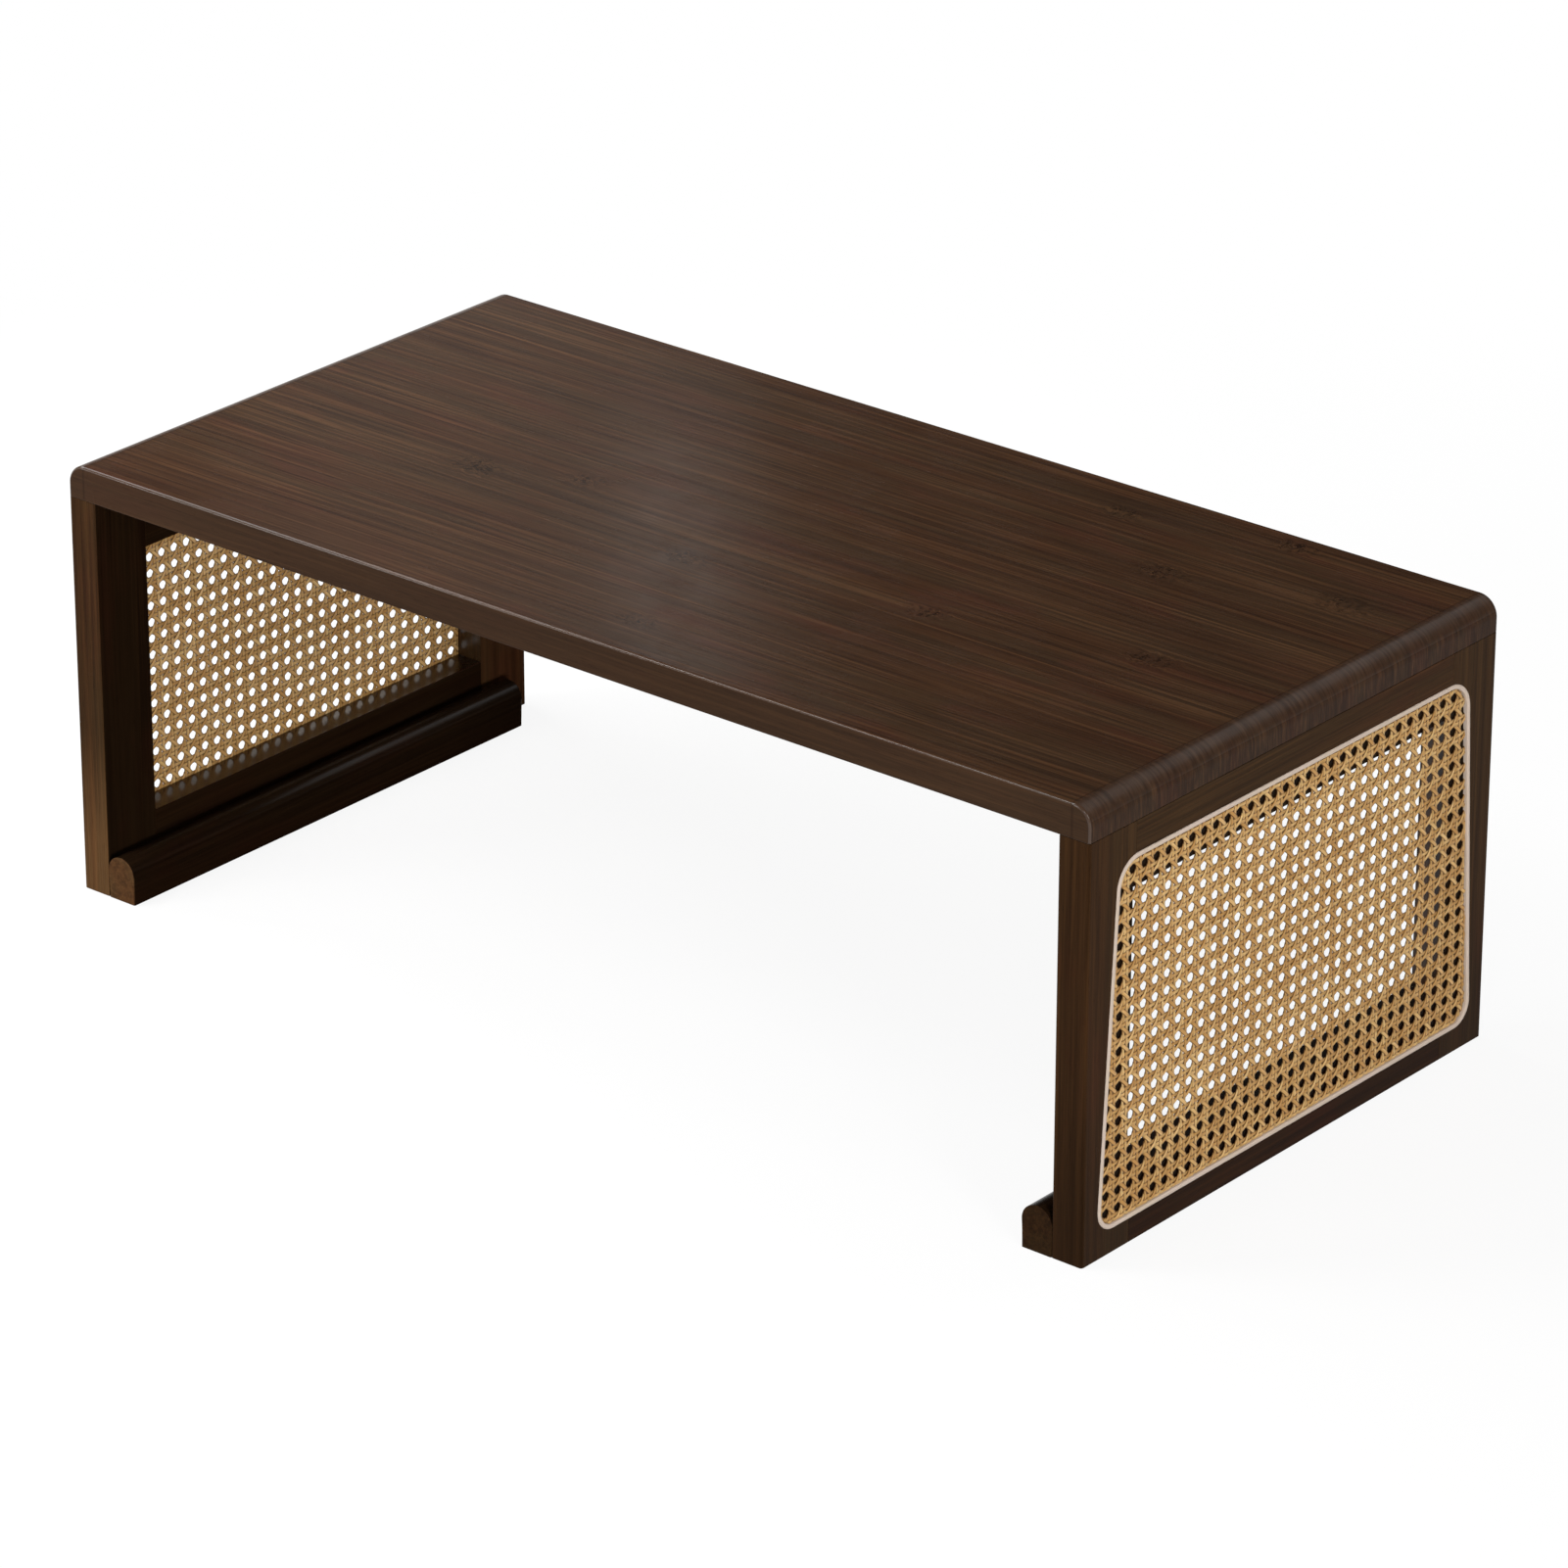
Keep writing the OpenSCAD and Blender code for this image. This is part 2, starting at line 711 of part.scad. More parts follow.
on_side("right") leg_leaf_screws();  // right_leg_leaf_screws
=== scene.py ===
"""Folding floor table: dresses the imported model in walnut, woven cane, reed and steel.

All lengths are in metres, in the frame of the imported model: X runs along the table, Y from its
front to its back and Z up, with the origin on the floor under the middle of the top.
"""

import math

import bmesh
import bpy
import numpy as np
from bpy.props import FloatProperty, FloatVectorProperty, IntProperty, PointerProperty
from mathutils import Matrix, Vector


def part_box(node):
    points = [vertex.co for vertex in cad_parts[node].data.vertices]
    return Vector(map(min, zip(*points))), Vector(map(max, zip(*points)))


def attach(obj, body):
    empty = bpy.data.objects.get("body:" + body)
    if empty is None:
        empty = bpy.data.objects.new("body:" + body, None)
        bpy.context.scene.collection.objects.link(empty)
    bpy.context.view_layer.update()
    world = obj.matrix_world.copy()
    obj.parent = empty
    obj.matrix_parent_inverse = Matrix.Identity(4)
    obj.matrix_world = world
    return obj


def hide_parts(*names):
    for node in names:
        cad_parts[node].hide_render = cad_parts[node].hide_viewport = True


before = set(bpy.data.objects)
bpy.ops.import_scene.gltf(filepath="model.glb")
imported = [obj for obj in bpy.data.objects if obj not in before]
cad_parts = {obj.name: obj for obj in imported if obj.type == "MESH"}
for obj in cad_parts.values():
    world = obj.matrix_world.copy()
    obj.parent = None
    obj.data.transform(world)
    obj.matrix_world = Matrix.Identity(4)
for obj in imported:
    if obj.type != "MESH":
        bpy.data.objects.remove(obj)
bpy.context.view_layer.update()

bl_info = {
    "name": "Folding floor table",
    "version": (1, 0, 0),
    "blender": (4, 5, 0),
    "location": "3D View > Sidebar > Floor table",
    "description": "Walnut top and leg frames, woven cane panels, reed splines and fittings",
    "category": "Object",
}

MM = 0.001
# Two places closer than this are the same place
NEAR = 1e-6
SIDES = ("left", "right")
ENDS = ("front", "back")

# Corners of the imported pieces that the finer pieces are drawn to
TOP_LOW, TOP_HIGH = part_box("tabletop")
STILE_LOW, STILE_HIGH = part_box("right_front_stile")
BAR_LOW, BAR_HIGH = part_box("right_foot_bar")
HALF_LENGTH = TOP_HIGH.x
HALF_DEPTH = TOP_HIGH.y
UNDER_TOP = TOP_LOW.z
LEG_INNER = STILE_LOW.x
OPENING_Y = -STILE_HIGH.y

# Panel recess in the outer face of a leg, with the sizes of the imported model
RECESS_FOOT = 15.5 * MM
RECESS_HEAD = 247.7 * MM
RECESS_FOOT_HALF = 184.5 * MM
RECESS_HEAD_HALF = 170.5 * MM
RECESS_FOOT_R = 15 * MM
RECESS_HEAD_R = 20 * MM
RECESS_FLOOR = HALF_LENGTH - 2 * MM
GROOVE_FLOOR = HALF_LENGTH - 5 * MM
GROOVE_WIDTH = 3.75 * MM

# Hinge pin, and the rows of screws and magnets
PIN_X = 377.7 * MM
PIN_Z = 245.7 * MM
HINGE_Y = 100 * MM
HINGE_HALF = 25 * MM
LEAF_WIDTH = 17 * MM
LEAF_THICKNESS = 2 * MM
KNUCKLE_HOLLOW_R = 4 * MM
KNUCKLE_HOLLOW_HALF = 26.2 * MM
SEAT = 0.05 * MM
LEAF_SCREW_PITCH = 17 * MM
LEAF_SCREW_OFFSET = 10.6 * MM
RAIL_SCREW_X = 339.2 * MM
RAIL_SCREW_SEAT = 253.95 * MM
RAIL_SCREW_PITCH = 87 * MM
# Lengths of the screws, in millimetres as their profiles are
LEAF_SCREW_LENGTH = 13
RAIL_SCREW_LENGTH = 29
TOP_MAGNET_X = 147 * MM
TOP_MAGNET_Y = 120 * MM
CATCH_Y = 50 * MM
CATCH_Z = 257 * MM
MAGNET_R = 5 * MM
MAGNET_THICKNESS = 4 * MM


def shade_of(red, green, blue):
    """A colour as the eye reads it, 0 to 255, turned into the light it reflects."""
    parts = []
    for part in (red, green, blue):
        part /= 255
        parts.append(part / 12.92 if part <= 0.04045 else ((part + 0.055) / 1.055) ** 2.4)
    return (*parts, 1.0)


# Properties that a user of the model may change


def length(name, description, default, low, high):
    """A small size, given here in millimetres."""
    return FloatProperty(
        name=name, description=description, default=default * MM, min=low * MM, max=high * MM,
        unit="LENGTH", precision=5,
    )


def colour(name, description, *shade):
    """A colour, given here as the eye reads it."""
    return FloatVectorProperty(
        name=name, description=description, default=shade_of(*shade), size=4, min=0, max=1,
        subtype="COLOR",
    )


def amount(name, description, default, high=1):
    """A plain amount, from nothing up."""
    return FloatProperty(
        name=name, description=description, default=default, min=0, max=high, subtype="FACTOR",
    )


def angle(name, description, degrees):
    """An angle, given here in degrees."""
    return FloatProperty(
        name=name, description=description, default=math.radians(degrees), subtype="ANGLE",
    )


class WoodProperties(bpy.types.PropertyGroup):
    """Sizes and colours of the wooden pieces."""

    end_round: length("End round-over", "Radius along the two ends of the top", 13, 6, 16)
    edge_round: length("Edge radius", "Radius of the other outer edges", 2, 0.5, 3)
    inner_ease: length("Inner edge", "Radius of the edges that face the inside", 1, 0.2, 1.5)
    joint_ease: length("Joint edge", "Tiny bevel of the edges at the joints", 0.25, 0.05, 0.6)
    heartwood: colour("Walnut", "Main colour of the walnut", 65, 43, 28)
    latewood: colour("Dark grain", "Colour of the dark grain lines", 38, 24, 16)
    reddish: colour("Red figure", "Colour of the reddish clouds in the walnut", 70, 41, 29)
    greenish: colour("Grey figure", "Colour of the grey-brown strips in the walnut", 59, 42, 28)
    lacquer: amount("Lacquer roughness", "Roughness of the satin lacquer", 0.24)


class CaneProperties(bpy.types.PropertyGroup):
    """Sizes and colours of the woven panels and their splines."""

    pitch: length("Pitch", "Distance between two pairs of strands", 11.14, 8, 16)
    strand_width: length("Strand width", "Width of one strand of cane", 2.82, 1.5, 3)
    strand_thickness: length("Strand thickness", "Thickness of one strand", 0.56, 0.2, 0.6)
    pair_gap: length("Pair gap", "Gap between the two strands of a pair", 0.12, 0.05, 1)
    wander: length("Wander", "How far a strand strays from its straight line", 0.1, 0, 0.4)
    cane_light: colour("Cane", "Light colour of the cane", 213, 177, 120)
    cane_dark: colour("Cane, dark", "Dark colour of the cane", 175, 133, 77)
    reed: colour("Reed", "Colour of the reed splines", 189, 172, 159)
    bead_height: length("Bead height", "How far the spline stands out of the leg", 0.8, 0.2, 1.2)
    seed: IntProperty(
        name="Seed", description="Start of the random draws of the weave", default=7, min=0,
    )


class StudioProperties(bpy.types.PropertyGroup):
    """The camera, the lamps and the floor."""

    azimuth: angle("Camera azimuth", "Direction of the camera round the table", 39.879)
    elevation: angle("Camera elevation", "Height of the camera over the horizon", 24.4013)
    roll: angle("Camera roll", "Turn of the camera about its own line of sight", 0.0745)
    place: FloatVectorProperty(
        name="Camera place", description="Where the camera stands",
        default=(2.73303, -3.25619, 2.04845), subtype="TRANSLATION", unit="LENGTH",
    )
    lens: FloatProperty(
        name="Lens", description="Focal length in millimetres, for a sensor 36 wide",
        default=174.26, min=20, max=400,
    )
    floor_shade: amount("Floor", "How much light the floor throws back on the table", 0.12)
    floor_white: amount("White floor", "Share of pure white in the floor by the table", 0.9)
    sky_light: amount("Surrounding light", "Strength of the light from all round", 0.10, 2)
    lamp_light: amount("Lamps", "Strength of all the lamps together", 1.0, 4)


# Meshes


def put(name, data):
    """A new object in the scene."""
    made = bpy.data.objects.new(name, data)
    bpy.context.scene.collection.objects.link(made)
    return made


def mesh_from(name, vertices, faces):
    mesh = bpy.data.meshes.new(name)
    mesh.from_pydata([tuple(v) for v in vertices], [], faces)
    mesh.update()
    return mesh


def skin(rings, count, base=0):
    """Faces round a row of rings with count points each, and a lid at either end."""
    low = base + np.arange(rings - 1)[:, None] * count
    here = np.arange(count)
    after = (here + 1) % count
    walls = np.stack((low + here, low + after, low + count + after, low + count + here), -1)
    last = base + (rings - 1) * count
    lids = [list(reversed(range(base, base + count))), list(range(last, last + count))]
    return walls.reshape(-1, 4).tolist() + lids


def even_shading(piece, keep_sharp):
    """Keeps flat faces flat beside a rounded edge."""
    weighted = piece.modifiers.new("even_shading", "WEIGHTED_NORMAL")
    weighted.keep_sharp = keep_sharp
    weighted.weight = 80


def add_piece(name, mesh, body, material, nodes, even=True, others=()):
    """Puts a finished mesh on its body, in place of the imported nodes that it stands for.

    others are pairs of a material and a test of a face's middle and normal, for the faces
    that have a finish of their own."""
    mesh.polygons.foreach_set("use_smooth", [True] * len(mesh.polygons))
    mesh.set_sharp_from_angle(angle=math.radians(32))
    mesh.materials.clear()
    mesh.materials.append(material)
    for number, (other, test) in enumerate(others):
        mesh.materials.append(other)
        for face in mesh.polygons:
            if test(face.center, face.normal):
                face.material_index = number + 1
    piece = put(name, mesh)
    if even:
        even_shading(piece, True)
    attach(piece, body)
    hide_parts(*nodes)


def dress_node(name, material, ease):
    """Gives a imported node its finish, and breaks its sharp edges a little."""
    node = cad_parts[name]
    if not node.material_slots:
        node.data.materials.append(material)
    for slot in node.material_slots:
        slot.material = material
    weld = node.modifiers.new("join_faces", "WELD")
    weld.merge_threshold = 1e-5
    bevel = node.modifiers.new("broken_edge", "BEVEL")
    bevel.width = ease
    bevel.segments = 2
    bevel.limit_method = "ANGLE"
    bevel.angle_limit = math.radians(50)
    bevel.use_clamp_overlap = True
    even_shading(node, False)


def rounded(shape, edges, radius, segments):
    """Rounds the given edges of a shape that is being edited."""
    bmesh.ops.bevel(
        shape, geom=edges, offset=radius, offset_type="OFFSET", segments=segments,
        profile=0.5, affect="EDGES", clamp_overlap=False,
    )


def board(low, high, eases):
    """A board between two corners. Each ease is (test of an edge's middle, radius, segments)."""
    shape = bmesh.new()
    bmesh.ops.create_cube(shape, size=1)
    low, high = Vector(low), Vector(high)
    for vertex in shape.verts:
        vertex.co = Vector((low[i] + (vertex.co[i] + 0.5) * (high[i] - low[i])) for i in range(3))
    for test, radius, segments in eases:
        picked = [e for e in shape.edges if test((e.verts[0].co + e.verts[1].co) / 2)]
        rounded(shape, picked, radius, segments)
    return shape


def at(value, goal):
    """True where two measures are the same."""
    return abs(value - goal) < NEAR


def outward(shape, mesh):
    """Turns all the faces of an edited shape outward, and writes it to the mesh."""
    bmesh.ops.recalc_face_normals(shape, faces=shape.faces)
    shape.to_mesh(mesh)
    shape.free()
    return mesh


def to_left(mesh):
    """Turns a piece of the right leg into its mirror image for the left one."""
    mesh.transform(Matrix.Scale(-1, 4, (1, 0, 0)))
    mesh.flip_normals()


def carved(mesh, cutters):
    """The mesh with each cutter taken away."""
    block = put("carving_block", mesh)
    tools = []
    for number, cutter in enumerate(cutters):
        tool = put(f"carving_tool_{number}", cutter)
        cut = block.modifiers.new(f"cut_{number}", "BOOLEAN")
        cut.operation = "DIFFERENCE"
        cut.solver = "EXACT"
        cut.object = tool
        tools.append(tool)
    bpy.context.view_layer.update()
    done = block.evaluated_get(bpy.context.evaluated_depsgraph_get())
    result = bpy.data.meshes.new_from_object(done)
    for leftover in (block, *tools):
        bpy.data.objects.remove(leftover)
    if not result.polygons:
        raise RuntimeError(f"nothing is left of {mesh.name} after carving")
    return result


def circle(count):
    """The (cosine, sine) of evenly spaced turns."""
    turns = [2 * math.pi * k / count for k in range(count)]
    return [(math.cos(turn), math.sin(turn)) for turn in turns]


def rod(start, end, radius, sides=40):
    """A closed rod between two points."""
    start, end = Vector(start), Vector(end)
    way = (end - start).normalized()
    across = way.orthogonal().normalized()
    other = way.cross(across)
    ring = [radius * (a * across + b * other) for a, b in circle(sides)]
    points = [centre + spoke for centre in (start, end) for spoke in ring]
    return mesh_from("rod", points, skin(2, sides))


def lathe(profile, sides=36):
    """A turned solid about Z from (radius, height) points that start and end on the axis."""
    points = [(0, 0, profile[0][1])]
    for radius, height in profile[1:-1]:
        points += [(radius * a, radius * b, height) for a, b in circle(sides)]
    points.append((0, 0, profile[-1][1]))
    # The lids of the skin give way to fans that meet on the axis
    faces = skin(len(profile) - 2, sides, 1)[:-2]
    last = len(points) - 1 - sides
    for k in range(sides):
        after = (k + 1) % sides
        faces += [(0, 1 + after, 1 + k), (last + k, last + after, len(points) - 1)]
    return mesh_from("turned", points, faces)


def joined(mesh, places, name):
    """One mesh with a copy of the given one at each place."""
    shape = bmesh.new()
    for place in places:
        copy = mesh.copy()
        copy.transform(place)
        shape.from_mesh(copy)
    return outward(shape, bpy.data.meshes.new(name))


# The panel's outline


def recess_outline(inset, steps=20):
    """Points (y, z) round the panel recess, drawn inset from its edge, from its lowest right corner."""
    lean = math.atan((RECESS_FOOT_HALF - RECESS_HEAD_HALF) / (RECESS_HEAD - RECESS_FOOT))
    low_y = RECESS_FOOT_HALF - RECESS_FOOT_R * (1 + math.sin(lean)) / math.cos(lean)
    high_y = RECESS_HEAD_HALF - RECESS_HEAD_R * (1 - math.sin(lean)) / math.cos(lean)
    low_z = RECESS_FOOT + RECESS_FOOT_R
    high_z = RECESS_HEAD - RECESS_HEAD_R
    quarter = math.pi / 2
    corners = (
        (low_y, low_z, RECESS_FOOT_R, -quarter, lean),
        (high_y, high_z, RECESS_HEAD_R, lean, quarter),
        (-high_y, high_z, RECESS_HEAD_R, quarter, math.pi - lean),
        (-low_y, low_z, RECESS_FOOT_R, math.pi - lean, 3 * quarter),
    )
    points, normals = [], []
    for y, z, radius, start, end in corners:
        for k in range(steps + 1):
            turn = start + (end - start) * k / steps
            way = np.array((math.cos(turn), math.sin(turn)))
            points.append(np.array((y, z)) + (radius - inset) * way)
            normals.append(way)
    return np.array(points), np.array(normals)


def recess_cutter():
    """What the outer face of the right leg loses to the panel: the recess, and the groove round it."""
    outer, _ = recess_outline(0)
    inner, _ = recess_outline(GROOVE_WIDTH)
    beyond = HALF_LENGTH + 3 * MM
    rings = ((outer, beyond), (outer, GROOVE_FLOOR), (inner, GROOVE_FLOOR), (inner, RECESS_FLOOR))
    points = [(x, y, z) for outline, x in rings for y, z in outline]
    faces = [face[::-1] for face in skin(len(rings), len(outer))]
    return mesh_from("recess_cutter", points, faces)


# Materials


class NodeTree:
    """Shader nodes that are laid down in the order in which they are worked out."""

    def __init__(self, owner):
        owner.use_nodes = True
        self.tree = owner.node_tree
        self.tree.nodes.clear()

    def node(self, kind, inputs=None, **settings):
        made = self.tree.nodes.new("ShaderNode" + kind)
        for setting, value in settings.items():
            setattr(made, setting, value)
        for socket, value in (inputs or {}).items():
            self.feed(made.inputs[socket], value)
        return made

    def feed(self, socket, value):
        if isinstance(value, bpy.types.NodeSocket):
            self.tree.links.new(value, socket)
        else:
            socket.default_value = value

    def math(self, operation, first, second=0.0, third=0.0):
        inputs = {0: first, 1: second, 2: third}
        return self.node("Math", inputs, operation=operation).outputs[0]

    def times(self, first, *others):
        for other in others:
            first = self.math("MULTIPLY", first, other)
        return first

    def size(self, value):
        return self.math("ABSOLUTE", value)

    def away(self, value, middle):
        """How far the value is from the middle, on either side."""
        return self.size(self.math("SUBTRACT", value, middle))

    def vector(self, operation, first, second):
        return self.node("VectorMath", {0: first, 1: second}, operation=operation).outputs[0]

    def scaled(self, place, scale):
        return self.vector("MULTIPLY", place, scale)

    def reach(self, place):
        """The length of a vector."""
        return self.node("VectorMath", {0: place}, operation="LENGTH").outputs["Value"]

    def split(self, place):
        return self.node("SeparateXYZ", {0: place}).outputs

    def xyz(self, x=0.0, y=0.0, z=0.0):
        return self.node("CombineXYZ", {0: x, 1: y, 2: z}).outputs[0]

    def between(self, value, low, high, to_low=0.0, to_high=1.0):
        """The value, eased from one range into another."""
        inputs = {"Value": value, 1: low, 2: high, 3: to_low, 4: to_high}
        return self.node("MapRange", inputs, interpolation_type="SMOOTHSTEP").outputs[0]


class Finish(NodeTree):
    """A material with one principled shader."""

    def __init__(self, name, **constants):
        self.material = bpy.data.materials.new(name)
        super().__init__(self.material)
        self.shader = self.node("BsdfPrincipled")
        self.node("OutputMaterial", {"Surface": self.shader.outputs["BSDF"]})
        for socket, value in constants.items():
            self.shader.inputs[socket.replace("_", " ")].default_value = value

    def noise(self, place, scale, detail=2, roughness=0.6):
        """Noise at a place that is first scaled along each axis."""
        inputs = {
            "Vector": self.scaled(place, scale), "Scale": 1.0, "Detail": detail,
            "Roughness": roughness,
        }
        return self.node("TexNoise", inputs).outputs[0]

    def mix(self, share, first, second, blend="MIX"):
        made = self.node("Mix", {0: share, 6: first, 7: second}, data_type="RGBA", blend_type=blend)
        made.clamp_factor = True
        return made.outputs[2]

    def coats(self, colour, *coats):
        """The colour under coats, each given as its share and its own colour."""
        for share, coat in coats:
            colour = self.mix(share, colour, coat)
        return colour

    def place(self):
        return self.node("TexCoord").outputs["Object"]

    def surface(self):
        """A point's place as a vector, then its place and its normal, each split in three."""
        corners = self.node("TexCoord").outputs
        return corners["Object"], self.split(corners["Object"]), self.split(corners["Normal"])

    def strand(self):
        """Along, across and tone of a strand, as stored in its mesh."""
        return self.node("Attribute", attribute_name="strand").outputs["Vector"]

    def done(self, colour, roughness, height, strength, distance):
        """The material, once its shader has its colour, its roughness and its bumps."""
        inputs = {"Height": height, "Strength": strength, "Distance": distance}
        normal = self.node("Bump", inputs).outputs["Normal"]
        for socket, value in (("Base Color", colour), ("Roughness", roughness), ("Normal", normal)):
            self.feed(self.shader.inputs[socket], value)
        return self.material


# Small knots in the top: x, y and radius, in millimetres
KNOTS = (
    (149, 158, 15), (224, 98, 19), (299, -10, 18), (155, -40, 16), (261, 181, 16),
    (-203, -39, 22), (-8, -67, 18), (336, 128, 20), (35, -158, 15), (-133, -13, 17),
)
# Long pale glue lines between the strips of the top: y, and start and end in x, in millimetres
GLUE_LINES = ((58, 92, 392), (-54, 40, 392), (141, -392, -250), (-117, -250, 60))
GLUE_LINE_FADE = 30
# How far out the painted shade behind the cane starts, and how high the painted light and shade at the
# foot of a leg reach
BEHIND_CANE_SHADE_START = (390 * MM, 393 * MM)
FOOT_LIGHT_HEIGHTS = (120 * MM, 20 * MM)

# Tones of the wood: the legs; painted shade on the faces that look into the table, on the foot bars and on
# the bottom rails; and painted light on the inner faces of the back stiles
LEG_TONE = (0.78, 0.76, 0.59)
INNER_PAINTED_SHADE = (0.27, 0.26, 0.23)
BAR_PAINTED_SHADE = (0.23, 0.23, 0.22)
BACK_INNER_PAINTED_LIGHT = (0.98, 0.86, 0.72)
BOTTOM_RAIL_PAINTED_SHADE = (0.37, 0.27, 0.17)


def walnut(name, grain, offset=(0, 0, 0), tone=(1, 1, 1), gloss=0.02, roughness=None, top=False,
           pale_foot=0, tint=(1, 1, 1, 1), pores_deep=0.10):
    """Dark walnut under a satin lacquer. grain is the axis that the fibres follow, 0 to 2."""
    wood = bpy.context.scene.table_wood
    late = tuple(wood.latewood)
    roughness = wood.lacquer if roughness is None else roughness
    finish = Finish(name, Specular_IOR_Level=gloss, Specular_Tint=tint)
    between, times = finish.between, finish.times
    spot, here, facing = finish.surface()
    end_on, front_on = finish.size(facing[0]), finish.size(facing[1])

    def drawn_out(place, along, across, detail=2, rough=0.6):
        """Noise that is drawn out along the fibres."""
        scale = [across] * 3
        scale[grain] = along
        return finish.noise(place, scale, detail, rough)

    place = finish.vector("ADD", spot, offset)
    if top:
        # The lines of the top run on down its ends instead of across them
        depth = finish.math("SUBTRACT", here[2], TOP_HIGH.z)
        place = finish.xyz(here[0], here[1], times(depth, between(front_on, 0.4, 0.8, 0.1, 0.8)))

    # The lines drift slowly, and part round each knot
    shift = [6 * MM] * 3
    shift[grain] = 0
    drift = finish.vector("SUBTRACT", drawn_out(place, 2.0, 9, 2, 0.5), (0.5, 0.5, 0.5))
    place = finish.vector("ADD", place, finish.scaled(drift, shift))
    if top:
        knots = 0.0
        for x, y, radius in KNOTS:
            way = finish.vector("SUBTRACT", spot, (x * MM, y * MM, TOP_HIGH.z))
            way = finish.scaled(way, (0.8 / (radius * MM), 1.3 / (radius * MM), 0))
            knots = finish.math("MAXIMUM", knots, between(finish.reach(way), 1.3, 0.1))
        swirl = finish.noise(spot, (120, 190, 120))
        push = times(finish.math("SUBTRACT", swirl, 0.5), knots, 22 * MM)
        place = finish.vector("ADD", place, finish.xyz(y=push))

    bands = drawn_out(place, 1.1, 34, 3, 0.55)
    lines = drawn_out(place, 3.5, 260, 3)
    streaks = drawn_out(place, 10, 640)
    pale = drawn_out(place, 5, 520, 2, 0.5)
    fibres = drawn_out(place, 40, 1500)
    clouds = drawn_out(place, 9, 28, 3)
    pores = between(drawn_out(place, 75, 2300, 1, 0.5), 0.63, 0.72)
    dark = between(lines, 0.40, 0.66, 0, 0.60)
    # The legs' wood is plainer than the top's
    strong, faint = (0.38, 0.42) if top else (0.28, 0.20)
    colour = finish.coats(
        tuple(wood.greenish),
        (between(bands, 0.42, 0.60), tuple(wood.heartwood)),
        (between(clouds, 0.50, 0.68, 0, 0.6), tuple(wood.reddish)),
        (dark, late),
        (between(streaks, 0.46, 0.68, 0, strong), late),
        (between(pale, 0.48, 0.68, 0, faint), shade_of(96, 66, 43)),
    )
    glow = times(between(fibres, 0.3, 0.7, 1.08, 0.92), between(bands, 0.3, 0.7, 1.10, 0.90))
    if top:
        colour = finish.mix(between(front_on, 0.5, 0.9, 0, 0.6), colour, shade_of(60, 43, 30))
        crackle = finish.noise(place, (230, 380, 230), 3, 0.7)
        crackle = times(between(crackle, 0.46, 0.60), knots)
        pores = finish.math("MAXIMUM", pores, times(crackle, 0.6))
        # Painted shade: the front and back faces are darkened against the top; the ends are darkened
        # partly as end grain and partly as painted shade; the crackle round the knots darkens the wood
        glow = times(
            glow, between(end_on, 0.75, 0.97, 1.0, 0.68), between(front_on, 0.85, 0.98, 1.0, 0.84),
            between(crackle, 0, 1, 1.0, 0.50),
        )
        for y, left, right in GLUE_LINES:
            line = times(
                between(finish.away(here[1], y * MM), 1.0 * MM, 0.2 * MM, 0, 0.34),
                between(here[0], left * MM, (left + GLUE_LINE_FADE) * MM),
                between(here[0], right * MM, (right - GLUE_LINE_FADE) * MM),
            )
            colour = finish.mix(line, colour, shade_of(112, 78, 50))
        # A fine dark line, then greyer striped end grain with a painted grey sheen, where the top turns
        # down
        off = finish.away(finish.size(here[0]), HALF_LENGTH - wood.end_round)
        stripes = between(finish.noise(spot, (0, 330, 18), 3, 0.7), 0.34, 0.66)
        grey = finish.mix(stripes, shade_of(46, 33, 25), shade_of(68, 51, 40))
        turned = times(between(end_on, 0.05, 0.14, 0, 0.75), between(end_on, 0.98, 0.80, 0.15, 1))
        colour = finish.coats(
            colour, (between(off, 1.3 * MM, 0.3 * MM, 0, 0.45), late), (turned, grey),
        )
    else:
        # Painted shade: the wood behind the cane is darkened
        depth = finish.size(here[0])
        behind_cane_shade = times(
            between(depth, HALF_LENGTH - 0.6 * MM, HALF_LENGTH - 1.4 * MM),
            between(depth, *BEHIND_CANE_SHADE_START), between(end_on, 0.5, 0.8, 0, 0.85),
        )
        colour = finish.mix(behind_cane_shade, colour, shade_of(18, 11, 7))
    # Painted light at the foot of a leg: a positive amount lightens its front faces towards the floor, a
    # negative one darkens all its faces towards the floor as painted shade
    if pale_foot:
        foot = between(here[2], *FOOT_LIGHT_HEIGHTS)
        if pale_foot > 0:
            foot = times(foot, between(facing[1], -0.5, -0.9))
        glow = times(glow, finish.math("MULTIPLY_ADD", foot, pale_foot, 1.0))
    glow = times(glow, between(pores, 0, 1, 1, 0.72))
    shade = finish.scaled(finish.xyz(glow, glow, glow), tone)
    colour = finish.mix(1.0, colour, shade, "MULTIPLY")

    wear = finish.noise(place, (19, 19, 19), 3)
    rough = between(wear, 0.25, 0.75, roughness - 0.04, roughness + 0.05)
    rough = finish.math("ADD", rough, times(dark, 0.04))
    height = finish.math("MULTIPLY_ADD", pores, -1.0, times(fibres, 0.5))
    return finish.done(colour, rough, height, pores_deep, 0.08 * MM)


def bare_beech(name):
    """Pale turned dowel wood, with its short dark flecks."""
    finish = Finish(name, Specular_IOR_Level=0.25)
    place = finish.place()
    fibres = finish.noise(place, (700, 60, 700), 3)
    flecks = finish.noise(place, (1600, 240, 1600), 1, 0.5)
    colour = finish.coats(
        shade_of(222, 190, 148),
        (fibres, shade_of(196, 158, 112)),
        (finish.between(flecks, 0.62, 0.70, 0, 0.5), shade_of(150, 110, 74)),
    )
    return finish.done(colour, finish.between(fibres, 0.2, 0.8, 0.55, 0.72), fibres, 0.2, 0.1 * MM)


